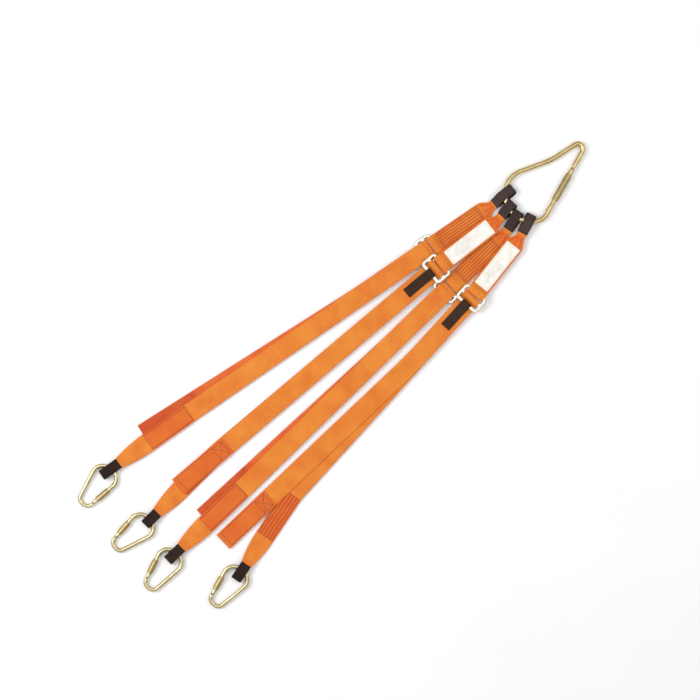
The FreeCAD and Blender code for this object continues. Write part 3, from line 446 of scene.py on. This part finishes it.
class Nodes:
    """A short way to write a material's nodes."""

    def __init__(self, name):
        self.material = bpy.data.materials.new(name)
        self.material.use_nodes = True
        self.tree = self.material.node_tree
        self.shader = self.tree.nodes["Principled BSDF"]

    def math(self, operation, a, b=0.0, c=None):
        node = self.tree.nodes.new("ShaderNodeMath")
        node.operation = operation
        for slot, value in zip(node.inputs, (a, b, c)):
            if isinstance(value, (int, float)):
                slot.default_value = value
            elif value is not None:
                self.tree.links.new(value, slot)
        return node.outputs[0]

    def noise(self, vector, scale, detail=3.0, rough=0.5):
        node = self.tree.nodes.new("ShaderNodeTexNoise")
        node.inputs["Scale"].default_value = scale
        node.inputs["Detail"].default_value = detail
        node.inputs["Roughness"].default_value = rough
        self.tree.links.new(vector, node.inputs["Vector"])
        return node.outputs["Fac"]

    def ramp(self, value, stops):
        node = self.tree.nodes.new("ShaderNodeValToRGB")
        elements = node.color_ramp.elements
        while len(elements) < len(stops):
            elements.new(0.5)
        for element, (place, colour) in zip(elements, stops):
            element.position = place
            element.color = (*colour, 1.0)
        self.tree.links.new(value, node.inputs["Fac"])
        return node.outputs["Color"]

    def mix(self, share, a, b):
        node = self.tree.nodes.new("ShaderNodeMix")
        node.data_type = "RGBA"
        # Sockets 6 and 7, and output 2, are the colour ones.
        for slot, value in ((node.inputs["Factor"], share), (node.inputs[6], a), (node.inputs[7], b)):
            if isinstance(value, (int, float)):
                slot.default_value = value
            elif isinstance(value, tuple):
                slot.default_value = (*value, 1.0)
            else:
                self.tree.links.new(value, slot)
        return node.outputs[2]

    def uv(self):
        """Metres along the webbing, and metres across it from its middle."""
        node = self.tree.nodes.new("ShaderNodeUVMap")
        node.uv_map = "weave"
        split = self.tree.nodes.new("ShaderNodeSeparateXYZ")
        self.tree.links.new(node.outputs[0], split.inputs[0])
        return split.outputs[0], split.outputs[1]

    def object_place(self):
        return self.tree.nodes.new("ShaderNodeTexCoord").outputs["Object"]

    def bump(self, height, strength, distance, under=None):
        node = self.tree.nodes.new("ShaderNodeBump")
        node.inputs["Strength"].default_value = strength
        node.inputs["Distance"].default_value = distance
        self.tree.links.new(height, node.inputs["Height"])
        if under is not None:
            self.tree.links.new(under, node.inputs["Normal"])
        return node.outputs[0]

    def finish(self, colour, roughness, normal=None, **fixed):
        for name, value in (("Base Color", colour), ("Roughness", roughness), ("Normal", normal)):
            slot = self.shader.inputs[name]
            if isinstance(value, (int, float)):
                slot.default_value = value
            elif isinstance(value, tuple):
                slot.default_value = (*value, 1.0)
            elif value is not None:
                self.tree.links.new(value, slot)
        for name, value in fixed.items():
            self.shader.inputs[name.replace("_", " ")].default_value = value
        return self.material


def srgb(r, g, b):
    """A colour given as 0 to 255, as the linear values that shaders take."""
    return tuple((c / 255 / 12.92) if c / 255 <= 0.04045 else ((c / 255 + 0.055) / 1.055) ** 2.4
                 for c in (r, g, b))


def webbing_material(name, light, mid, dark, shadow, warp=0.0011, weft=0.0017, sheen=0.35,
                     depth=0.00022, specular=0.3):
    """Woven webbing: warp yarns along the strap, crossed by the weft, with handled, uneven dye."""
    n = Nodes(name)
    u, v = n.uv()
    column = n.math("DIVIDE", v, warp)
    cell = n.math("FLOOR", column)
    phase = n.math("ADD", n.math("MULTIPLY", u, 2 * math.pi / weft), n.math("MULTIPLY", cell, math.pi * 0.5))
    float_over = n.math("ADD", n.math("MULTIPLY", n.math("SINE", phase), 0.5), 0.5)
    yarn = n.math("ABSOLUTE", n.math("SINE", n.math("MULTIPLY", column, math.pi)))
    weave = n.math("MULTIPLY", float_over, n.math("POWER", yarn, 0.5))
    place = n.object_place()
    cloud = n.noise(place, 22.0, 4.0, 0.6)
    fuzz = n.noise(place, 2600.0, 2.0, 0.7)
    # The cloud is uneven dye; the weave term darkens the colour in the valleys between the yarns, which is
    # painted shade.
    shade = n.math("ADD", n.math("MULTIPLY", cloud, 0.75), n.math("MULTIPLY", weave, 0.28))
    colour = n.ramp(shade, [(0.30, dark), (0.52, mid), (0.78, light)])
    # The ribbon's 'shade' attribute mixes in the shadow colour: painted shade in creases, gathers and stitch
    # grooves, and also the darker tone of sewn blocks, selvedges and folded tail ends.
    darker = n.tree.nodes.new("ShaderNodeAttribute")
    darker.attribute_name = "shade"
    colour = n.mix(darker.outputs["Fac"], colour, shadow)
    height = n.math("ADD", weave, n.math("MULTIPLY", fuzz, 0.35))
    normal = n.bump(height, 0.55, depth)
    normal = n.bump(cloud, 0.25, 0.0015, normal)
    rough = n.math("ADD", n.math("MULTIPLY", fuzz, 0.2), 0.62)
    tint = tuple(min(1.0, 1.3 * c + 0.1) for c in light)
    return n.finish(colour, rough, normal, Sheen_Weight=sheen, Sheen_Roughness=0.45,
                    Sheen_Tint=(*tint, 1.0), Specular_IOR_Level=specular)


def thread_material(name, colour, dark):
    n = Nodes(name)
    place = n.object_place()
    twist = n.noise(place, 1500.0, 2.0, 0.6)
    mixed = n.ramp(twist, [(0.35, dark), (0.65, colour)])
    return n.finish(mixed, 0.6, n.bump(twist, 0.5, 0.0002), Sheen_Weight=0.3, Specular_IOR_Level=0.35)


def metal_material(name, tones, roughness):
    """Plated steel. Its tones are dark, middle and light plating, which drift, and rubbed specks."""
    dark, middle, light, rubbed = tones
    grain, spread = 180.0, 0.12
    n = Nodes(name)
    place = n.object_place()
    drift = n.noise(place, 34.0, 3.0, 0.55)
    speck = n.noise(place, grain * 9, 3.0, 0.7)
    colour = n.ramp(drift, [(0.32, dark), (0.5, middle), (0.68, light)])
    rub = n.math("MULTIPLY", n.math("GREATER_THAN", speck, 0.66), 0.35)
    colour = n.mix(rub, colour, rubbed)
    uneven = n.math("MULTIPLY", n.noise(place, grain, 5.0, 0.6), spread * 2)
    rough = n.math("ADD", uneven, roughness - spread)
    normal = n.bump(speck, 0.12, 0.0001)
    normal = n.bump(n.noise(place, grain, 4.0, 0.6), 0.15, 0.0002, normal)
    return n.finish(colour, rough, normal, Metallic=1.0)


def label_material():
    """Coated white cloth with a printed border and blank ruled lines. Its lengths are in metres."""
    border_inset, border_half = 0.0042, 0.00022
    line_gap, line_half = 0.0022, 0.00017
    field_inset, field_middle, field_half = 0.0065, 0.077, 0.026
    n = Nodes("label_cloth")
    u, v = n.uv()
    place = n.object_place()
    side = n.math("ABSOLUTE", v)
    end = n.math("MINIMUM", u, n.math("SUBTRACT", LABEL_LENGTH * MM, u))
    near = n.math("MINIMUM", n.math("SUBTRACT", LABEL_HALF * MM, side), end)
    border = n.math("COMPARE", near, border_inset, border_half)
    ruled = n.math("COMPARE", n.math("PINGPONG", v, line_gap), line_gap / 2, line_half)
    field = n.math("GREATER_THAN", near, field_inset)
    lower = n.math("LESS_THAN", n.math("ABSOLUTE", n.math("SUBTRACT", u, field_middle)), field_half)
    ruled = n.math("MULTIPLY", n.math("MULTIPLY", ruled, field), lower)
    ink = n.math("MAXIMUM", n.math("MULTIPLY", border, 0.5), n.math("MULTIPLY", ruled, 0.62))
    stain = n.noise(place, 55.0, 4.0, 0.6)
    base = n.ramp(stain, [(0.3, srgb(232, 226, 214)), (0.6, srgb(249, 246, 239))])
    colour = n.mix(ink, base, srgb(96, 92, 100))
    weave = n.noise(place, 1900.0, 2.0, 0.6)
    normal = n.bump(n.noise(place, 90.0, 3.0, 0.5), 0.3, 0.0008, n.bump(weave, 0.2, 0.0001))
    return n.finish(colour, n.math("ADD", n.math("MULTIPLY", stain, 0.2), 0.35), normal,
                    Specular_IOR_Level=0.45, Sheen_Weight=0.1)


ORANGE = webbing_material("orange_webbing", srgb(232, 146, 54), srgb(226, 132, 45), srgb(216, 108, 34),
                          srgb(210, 70, 22))
# A darker, redder copy of the orange for the face-down legs' tails, which lie under their straps: painted
# shade.
SHADED_TAIL_ORANGE = webbing_material("shaded_tail_orange_webbing", srgb(232, 124, 56), srgb(222, 104, 44),
                               srgb(204, 82, 34), srgb(176, 56, 24))
BLACK_SLEEVE = webbing_material("black_sleeve_webbing", srgb(88, 70, 66), srgb(68, 52, 49),
                                srgb(46, 35, 33), srgb(32, 24, 22), warp=0.0014, weft=0.0022, sheen=0.14,
                                specular=0.2)
BLACK_END = webbing_material("black_end_webbing", srgb(62, 44, 34), srgb(46, 31, 23), srgb(31, 21, 15),
                             srgb(21, 14, 10), warp=0.0014, weft=0.0022, sheen=0.1, specular=0.16)
BLACK_TAB = webbing_material("black_tab_webbing", srgb(84, 58, 42), srgb(64, 43, 30), srgb(43, 29, 20),
                             srgb(29, 19, 13), warp=0.001, weft=0.0015, sheen=0.1, specular=0.16)
LABEL_CLOTH = label_material()
RED_THREAD = thread_material("red_brown_thread", srgb(148, 46, 22), srgb(100, 30, 15))
PALE_THREAD = thread_material("label_thread", srgb(226, 170, 130), srgb(196, 120, 84))
BLACK_THREAD = thread_material("black_thread", srgb(40, 32, 30), srgb(18, 14, 13))
GOLD = metal_material("yellow_zinc_steel", [srgb(200, 174, 118), srgb(212, 190, 136), srgb(224, 207, 158),
                                            srgb(172, 147, 96)], 0.31)
PALE_GOLD = metal_material("pale_zinc_steel", [srgb(196, 178, 134), srgb(207, 192, 150),
                                               srgb(219, 208, 171), srgb(166, 149, 110)], 0.33)
GOLD_SLEEVE = metal_material("knurled_zinc_steel", [srgb(168, 147, 98), srgb(184, 163, 112),
                                                    srgb(200, 181, 130), srgb(136, 117, 76)], 0.44)
SILVER = metal_material("bright_zinc_steel", [srgb(196, 193, 180), srgb(208, 205, 193),
                                              srgb(219, 217, 208), srgb(168, 164, 148)], 0.42)
DARK_STEEL = metal_material("pin_steel", [srgb(150, 140, 118), srgb(166, 156, 132), srgb(180, 170, 148),
                                          srgb(120, 112, 96)], 0.4)


def dress(obj, material, body, slot, *nodes):
    """Give a new piece its material and body, and hide the frame nodes that it stands for. The slot is not
    used.
    """
    obj.data.materials.append(material)
    if body is not None:
        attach(obj, body)
    if nodes:
        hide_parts(*nodes)
    return obj


# ---------------------------------------------------------------- eyes


def local_points(node, matrix):
    """A node's vertices, in millimetres in the frame that the matrix gives."""
    points = np.array([v.co for v in NODES[node].data.vertices]) / MM
    return np.hstack([points, np.ones((len(points), 1))]) @ np.array(matrix.inverted()).T


def distance_along(points, start, turn):
    """How far points lie from a start in plan, along a heading."""
    return (points[:, :2] - np.array(start)) @ np.array([math.cos(turn), math.sin(turn)])


def eye_circles(node, matrix, sign, ply_radius, start, turn):
    """The circles (s, z, radius) that an eye's middle line turns round, read from its sleeve's node.

    They run from the block's side of the rod to the eye's closed end. Sign is -1 where s grows away
    from the eye.
    """
    points = local_points(node, matrix)
    s, z = distance_along(points, start, turn), points[:, 2]
    middle = (z.max() + z.min()) / 2
    top = s[z > z.max() - 0.25]  # the sleeve is highest where it passes over the rod
    near_rod, far_rod = top.min(), top.max()
    circles = [(near_rod, middle, ply_radius), (far_rod, middle, ply_radius)]
    outer = ply_radius + T / 2 + SKIN
    if s.max() > far_rod + outer + 0.8:  # the eye reaches on past the rod
        circles.append((s.max() - TIP_RADIUS - SKIN, middle, TIP_RADIUS - T / 2))
    return [(sign * s, z, radius) for s, z, radius in circles]


def part_of_loop(points, inside):
    """The stretch of a closed line where a condition holds, as an open line."""
    first = int(np.argmax(~inside))
    return np.roll(points, -first, 0)[np.roll(inside, -first)]


# ---------------------------------------------------------------- upper straps

COURSE_REACH = 110.0  # how far the upper course runs past the block's start, over the eye


def upper_course(leg):
    """The upper strap in plan: from the large karabiner to the block, then straight to the adjuster."""
    low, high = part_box(leg.name + "upper_sleeve")
    centre = leg.upper.inverted() @ ((low + high) / (2 * MM))
    turn = math.atan2(centre.y, centre.x)
    start = (-COURSE_REACH * abs(math.cos(turn)), COURSE_REACH * math.sin(turn))
    course = Course(leg.upper, [start, (0, 0), (leg.upper_length + 60, 0)], bend=9)
    course.s = course.s - (course.s[0] + COURSE_REACH)  # s is 0 at the block's start
    return course, turn


def upper_end(leg):
    """Upper strap with its eye and adjuster loop, black sleeve, label and stitching."""
    body, name = leg.name + "top", leg.name
    course, turn = upper_course(leg)
    circles = eye_circles(name + "upper_sleeve", leg.upper, -1, MASTER_EYE + T / 2, (0, 0), turn)
    # The adjuster's loop has room for its tilt on the top bar.
    bar_x, spread = leg.upper_length + BAR / 2, BAR / 2 - BAR_HALF + 3.3
    loop = BAR_HALF + 0.7 + T / 2
    chain = circles[::-1] + [(0.0, leg.block_z, PLY), (UPPER_BLOCK_END, leg.block_z, PLY),
                             (bar_x - spread, leg.bar_z, loop), (bar_x + spread, leg.bar_z, loop)]
    line = relaxed(closed_line(chain), 3, closed=True)
    low, high = SHOULDER + 4, UPPER_BLOCK_END - 5
    lines = UPPER_ROWS + [-EDGE_ROW, EDGE_ROW]
    drawn = pressed(lines, low, high)
    # The sewn block's tone, with painted shade in its stitch grooves.
    sewn = sewn_tone(lines, low, high, cloth=0.07, seam=0.75)

    def half(s):
        return EYE_HALF + (WEB_HALF - EYE_HALF) * smoothstep(-6, SHOULDER - 2, s)

    def crease(s, across):
        """Folds that run from the block's corners to the eye, raised in the relief and darkened with painted
        shade in the tone.
        """
        inside = smoothstep(-8, 0, s) * (1 - smoothstep(SHOULDER - 6, SHOULDER + 1, s))
        fold = 5 + 13 * np.clip(s / SHOULDER, 0, 1)
        return inside * (np.exp(-((np.abs(across) - fold) / 1.7) ** 2)
                         + 0.6 * np.exp(-((across - 2 * math.sin(leg.seed)) / 2.2) ** 2))

    def relief(s, across, side):
        return drawn(s, across, side) - 0.75 * crease(s, across)

    # Painted shade in the creases and where the webbing gathers towards the eye, over the sewn block's tone
    # and its painted groove shade.
    def tone(s, across):
        gathered_shade = smoothstep(-12, 0, s) * (1 - smoothstep(SHOULDER - 4, SHOULDER + 3, s))
        return np.maximum(sewn(s, across), 0.3 * gathered_shade + 0.6 * crease(s, across))

    def skew(s, z):
        return -leg.lean * (z - circles[0][1]) * (1 - smoothstep(-26, -2, s))

    strap = ribbon(name + "upper_webbing", course, line, half, T, closed=True,
                   columns=row_columns(lines, WEB_HALF), relief=relief, skew=skew, tone=tone)
    dress(strap, ORANGE, body, "webbing", name + "upper_strap")

    sleeve = local_points(name + "upper_sleeve", leg.upper)
    covered = part_of_loop(line, line[:, 0] < -distance_along(sleeve, (0, 0), turn).min())
    tube = ribbon(name + "upper_sleeve_webbing", course, covered, SLEEVE_HALF, T + 2 * SKIN,
                  columns=even_columns(10), hollow=SLEEVE_WALL, skew=skew)
    dress(tube, BLACK_SLEEVE, body, "sleeve_webbing", name + "upper_sleeve")

    bare = 1 if leg.face_down else -1  # the side with no label, where the block's stitching shows
    face = leg.block_z + bare * (PLY + T / 2 - 0.12)
    thread = [row_along(w, low, high, face, bare) for w in UPPER_ROWS]
    thread.append((rectangle(low - 1.5, high + 1.5, EDGE_ROW), face, bare))
    thread += [row_across(at, UPPER_ACROSS, face, bare) for at in (low + 3, high - 3)]
    dress(stitches(name + "upper_stitching", course, thread), RED_THREAD, body, "webbing")
    label(leg, course, -bare)


def label(leg, course, side):
    """The white label on one side of the block, with its seam."""
    name, body = leg.name, leg.name + "top"
    label_end = LABEL_START + LABEL_LENGTH
    plane = leg.block_z + side * LABEL_OFFSET
    flat = np.array([(s, plane) for s in np.arange(LABEL_START, label_end + 0.5, 1.5)])
    flat[-1, 0] = label_end

    def from_end(s):
        return np.minimum(s - LABEL_START, label_end - s)

    def half(s):
        return LABEL_HALF - 1.2 * (1 - smoothstep(0, 1.6, from_end(s)))

    def crumple(s, across, face):
        loose = smoothstep(2.5, 9, np.minimum(from_end(s), LABEL_HALF - np.abs(across)))
        waves = 0.16 * np.sin(s / 6.1 + across / 9 + leg.seed) + 0.12 * np.sin(s / 3.3 - across / 4.7)
        return face * side * loose * waves

    cloth = ribbon(name + "label_cloth", course, flat, half, LABEL_THICK, columns=even_columns(22),
                   relief=crumple)
    dress(cloth, LABEL_CLOTH, body, "label", name + "label")
    seam = rectangle(LABEL_START + 2.2, label_end - 2.2, LABEL_HALF - 2.0)
    height = plane + side * (LABEL_THICK / 2 - 0.05)
    sewn = stitches(name + "label_stitching", course, [(seam, height, side)], pitch=2.6, length=1.9,
                    radius=0.24)
    dress(sewn, PALE_THREAD, body, "label")


# ---------------------------------------------------------------- lower straps


def lower_course(leg):
    """The standing webbing in plan: straight to the block, then towards the small karabiner."""
    low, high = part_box(leg.name + "lower_sleeve")
    centre = leg.lower.inverted() @ ((low + high) / (2 * MM))
    turn = math.atan2(centre.y, centre.x - leg.run)
    end = (leg.run + 300 * math.cos(turn), 300 * math.sin(turn))
    return Course(leg.lower, [(-60, 0), (leg.run, 0), end], bend=14), turn


def turn_line():
    """The webbing's turn round the middle bar, from under the adjuster to the tail's side."""
    clear = BAR_GAP + T / 2
    under, over = BAR_Z - BAR_HALF - clear, BAR_Z + BAR_HALF + clear
    corners = [(LAP_START, T / 2, 0), (MIDDLE + BAR + 2, T / 2, 4), (MIDDLE + 3.5, under, 4),
               (MIDDLE - clear, under, 2.3), (MIDDLE - clear, over, 2.3), (MIDDLE + BAR + 1, over, 2.2),
               (MIDDLE + BAR + 5.5, PITCH + T / 2, 2.2), (LAP_START, PITCH + T / 2, 0)]
    return evenly(rounded_route(corners), 1.3)


def follow_slide(piece, course):
    """Bake a ply's placement into its mesh. The sliding lap's start and end are worked out but not used."""
    start = course.place(LAP_START + 2, 0, T / 2)
    end = course.place(LAP_START + 2 + 2 * TRAVEL, 0, T / 2)
    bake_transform(piece)


def standing_part(leg, course, turn):
    """Standing webbing, sewn block, taper and lower eye, with its sleeve and stitching."""
    name, body = leg.name, leg.name + "strap"
    circles = eye_circles(name + "lower_sleeve", leg.lower, 1, SMALL_EYE + T / 2, (leg.run, 0), turn)
    circles = [(leg.run + s, z, radius) for s, z, radius in circles]
    rod_z, block_end = circles[0][1], leg.run + BLOCK
    sleeve = local_points(name + "lower_sleeve", leg.lower)
    taper_end = leg.run + distance_along(sleeve, (leg.run, 0), turn).min()
    gather = block_end + (circles[0][0] - block_end) * 0.55  # where the taper's plies part
    chain = circles[::-1] + [(gather, BLOCK_MID * 0.7 + rod_z * 0.3, PLY + 0.4),
                             (block_end, BLOCK_MID, PLY), (leg.run, BLOCK_MID, PLY)]
    whole = closed_line(chain)
    loop = part_of_loop(whole, whole[:, 0] > leg.run + 2.0)
    if loop[0, 1] < loop[-1, 1]:
        loop = loop[::-1]
    standing = evenly([(LAP_START, T / 2), (leg.run + 1.0, T / 2)], RUN_STEP)
    line = np.vstack([standing, relaxed(loop, 4)])
    if leg.face_down:
        line = np.vstack([turn_line()[::-1][:-1], line])
    rows = LOWER_ROWS if leg.stitched else []
    low, high = leg.run + 4, block_end - 4
    lines = [-EDGE_ROW, EDGE_ROW] + rows
    # The sewn block's tone, with painted shade in its stitch grooves.
    sewn = sewn_tone(lines, low, high, cloth=0.5, seam=0.85)

    def half(s):
        t = np.clip((taper_end - s) / (taper_end - block_end), 0, 1)
        return LOWER_EYE_HALF + (WEB_HALF - LOWER_EYE_HALF) * np.sin(t * math.pi / 2) ** 0.8

    # Painted shade where the taper gathers into the sleeve, over the sewn block's tone and its painted
    # groove shade.
    def tone(s, across):
        return np.maximum(sewn(s, across), 0.3 * smoothstep(taper_end - 30, taper_end, s))

    def lift(s, across):
        mid = smoothstep(block_end, block_end + 30, s) * (1 - smoothstep(taper_end - 25, taper_end, s))
        return ripple(leg, s, across) + 0.9 * mid * (1 - (across / WEB_HALF) ** 2)

    web = ribbon(name + "lower_webbing", course, line, half, T, columns=row_columns(lines, WEB_HALF),
                 relief=pressed(lines, low, high, 0.22), wave=lift, tone=tone)
    dress(web, ORANGE, None, "webbing", name + "lower_strap")
    follow_slide(web, course)

    covered = relaxed(part_of_loop(whole, whole[:, 0] > taper_end - 4), 3)
    tube = ribbon(name + "lower_sleeve_webbing", course, covered, LOWER_SLEEVE_HALF, T + 2 * SKIN,
                  columns=even_columns(10), hollow=SLEEVE_WALL)
    dress(tube, BLACK_END, body, "sleeve_webbing", name + "lower_sleeve")

    thread = []
    for side in (1, -1):
        face = BLOCK_MID + side * (PLY + T / 2 - 0.1)
        thread += [row_across(at, LOWER_ACROSS, face, side) for at in (low - 1, high + 1)]
        thread += [row_along(w, low, high, face, side) for w in lines]
    dress(stitches(name + "lower_stitching", course, thread), RED_THREAD, body, "webbing")


def tail_part(leg, course):
    """The free tail, from the adjuster or its lap to the folded and stitched end."""
    name, body = leg.name, leg.name + "free_tail"
    fold, tip = leg.tail_end - FOLD, leg.tail_end - 1.2
    rise = PITCH + T / 2
    out = evenly([(LAP_START, rise), (tip - PLY, rise)], RUN_STEP)
    bend = [(tip - PLY + PLY * math.sin(a), rise + PLY - PLY * math.cos(a))
            for a in np.linspace(0.25, math.pi - 0.25, 7)]
    back = evenly([(tip - PLY, rise + PITCH), (fold, rise + PITCH)], RUN_STEP)
    line = np.vstack([out, bend, back])
    if not leg.face_down:
        line = np.vstack([turn_line()[:-1], line])
    straight = LAP_START + 2 * TRAVEL + 7  # where the tail may start to drift to one side
    end = leg.tail_end + 60
    drift = leg.tail_drift * (end - straight) / (leg.tail_end - straight)
    tail_course = Course(leg.lower, [(-60, 0), (straight, 0), (end, drift)], bend=40)
    tail = ribbon(name + "tail_webbing", tail_course, line, WEB_HALF, T,
                  wave=lambda s, across: ripple(leg, s, across),
                  tone=lambda s, across: 0.5 * smoothstep(fold - 2, fold + 1, s))
    # The face-down legs' tails lie under their straps and take the orange's darker copy, which is painted
    # shade.
    dress(tail, SHADED_TAIL_ORANGE if leg.face_down else ORANGE, None, "tail_webbing",
          name + "tail", name + "strap_wrap")
    follow_slide(tail, course)

    seams = []
    box_low, box_high, last_row = fold + 6, fold + 33, leg.tail_end - 11
    # The thread lies nearly flush on the side that slides along the strap.
    for height, side in ((rise + PITCH + T / 2 - 0.05, 1), (rise - T / 2 + 0.82, -1)):
        seams += crossed_box(box_low, box_high, 17, height, side)
        seams.append(row_across(last_row, LOWER_ACROSS, height, side))
        seams += [row_along(w, box_high, last_row, height, side) for w in (-LOWER_ACROSS, LOWER_ACROSS)]
    dress(stitches(name + "tail_stitching", tail_course, seams), RED_THREAD, body, "tail_webbing")


def lower_end(leg):
    course, turn = lower_course(leg)
    standing_part(leg, course, turn)
    tail_part(leg, course)


def pull_tab(leg):
    """The black tab looped round the adjuster's lower bar."""
    droop = TAB_DROOP if leg.face_down else 0.0
    swing = Matrix.Rotation(math.radians(droop), 4, "Y")
    matrix = leg.lower @ Matrix.Translation((LOWER_BAR_X, 0, BAR_Z)) @ swing
    spread = BAR / 2 - BAR_HALF + 0.8
    inner = BAR_HALF + BAR_GAP
    chain = [(-spread, 0.0, inner + TAB_THICK / 2), (spread, 0.0, inner + TAB_THICK / 2),
             (24.0, -inner, TAB_THICK / 2), (TAB_LENGTH - 0.6, -inner, TAB_THICK / 2)]
    line = relaxed(closed_line(chain, spacing=1.2, step=1.0), 2, closed=True)
    course = Course(matrix, [(-40, 0), (120, 0)], bend=4)
    tab = ribbon(leg.name + "tab_webbing", course, line, TAB_HALF, TAB_THICK, closed=True,
                 columns=even_columns(12))
    dress(tab, BLACK_TAB, leg.name + "slide", "tab_webbing", leg.name + "release_tab")
    rows = []
    for side in (1, -1):
        face = -inner + side * (TAB_THICK - 0.05)
        rows += crossed_box(27, 45, 8.5, face, side)
        rows.append(row_across(TAB_LENGTH - 6, 10, face, side))
    sewn = stitches(leg.name + "tab_stitching", course, rows, radius=0.3)
    dress(sewn, BLACK_THREAD, leg.name + "slide", "tab_webbing")


# ---------------------------------------------------------------- metal


def paint(node, material):
    data = NODES[node].data
    data.materials.clear()
    data.materials.append(material)
    data.polygons.foreach_set("material_index", [0] * len(data.polygons))


def metal_parts():
    for prefix in ["master_"] + [leg.name for leg in LEGS]:
        plating = GOLD if prefix == "master_" else PALE_GOLD
        paint(prefix + "karabiner", plating)
        paint(prefix + "gate", plating)
        paint(prefix + "lock_sleeve", GOLD_SLEEVE)
    for leg in LEGS:
        paint(leg.name + "adjuster", SILVER)
        paint(leg.name + "gate_hardware", DARK_STEEL)
    for part in ("hinge_rivet", "latch_pin", "gate_spring", "spring_plunger"):
        paint("master_" + part, DARK_STEEL)


# ---------------------------------------------------------------- floor, light and camera

VIEW_WIDTH = 1.624  # metres across the picture, at the webbing's height
VIEW_CENTRE = (-0.0004, 0.0269)
VIEW_ROLL = -42.0
VIEW_HEIGHT = 8.0  # a long lens from far above, as in a flat product picture
WEBBING_HEIGHT = 0.012
FLOOR_SIZE, FLOOR_Z = 40, -0.0006


def floor_and_light():
    bpy.ops.mesh.primitive_plane_add(size=FLOOR_SIZE, location=(0, 0, FLOOR_Z))
    floor = bpy.context.object
    floor.name = "floor"
    n = Nodes("pale_floor")
    cloud = n.noise(n.object_place(), 3.0, 2.0)
    tone = n.ramp(cloud, [(0.3, (0.95, 0.95, 0.95)), (0.7, (0.97, 0.97, 0.97))])
    floor.data.materials.append(n.finish(tone, 0.8, Specular_IOR_Level=0.1))
    world = bpy.data.worlds.new("soft_room")
    bpy.context.scene.world = world
    world.use_nodes = True
    tree = world.node_tree
    place = tree.nodes.new("ShaderNodeTexCoord")
    split = tree.nodes.new("ShaderNodeSeparateXYZ")
    ramp = tree.nodes.new("ShaderNodeValToRGB")
    tree.links.new(place.outputs["Generated"], split.inputs[0])
    tree.links.new(split.outputs["Z"], ramp.inputs["Fac"])
    tree.links.new(ramp.outputs["Color"], tree.nodes["Background"].inputs["Color"])
    stops = [(0.0, 0.30), (0.25, 0.22), (0.6, 0.62), (1.0, 0.85)]  # grey by the ray's upward part
    while len(ramp.color_ramp.elements) < len(stops):
        ramp.color_ramp.elements.new(0.5)
    for element, (at, value) in zip(ramp.color_ramp.elements, stops):
        element.position = at
        element.color = (value, value, value, 1.0)
    # Each lamp's name, place, diameter and power, in metres and watts.
    lamps = [("key", (-1.3, 1.6, 2.6), 1.6, 44), ("fill", (1.9, -0.7, 2.3), 2.0, 14),
             ("top", (0.1, 0.2, 3.2), 1.0, 10)]
    for name, place, size, power in lamps:
        lamp = bpy.data.lights.new(name, "AREA")
        lamp.shape, lamp.size, lamp.energy = "DISK", size, power
        obj = bpy.data.objects.new(name, lamp)
        obj.location = place
        obj.visible_camera = False
        obj.rotation_euler = (-Vector(place)).to_track_quat("-Z", "Y").to_euler()
        bpy.context.scene.collection.objects.link(obj)


def camera():
    data = bpy.data.cameras.new("camera")
    data.lens = data.sensor_width * VIEW_HEIGHT / VIEW_WIDTH
    obj = bpy.data.objects.new("camera", data)
    obj.location = (*VIEW_CENTRE, VIEW_HEIGHT + WEBBING_HEIGHT)
    obj.rotation_euler = (0, 0, math.radians(VIEW_ROLL))
    bpy.context.scene.collection.objects.link(obj)
    bpy.context.scene.camera = obj
    bpy.context.scene.view_settings.view_transform = "Standard"


camera()
floor_and_light()
metal_parts()
for leg in LEGS:
    upper_end(leg)
    lower_end(leg)
    pull_tab(leg)
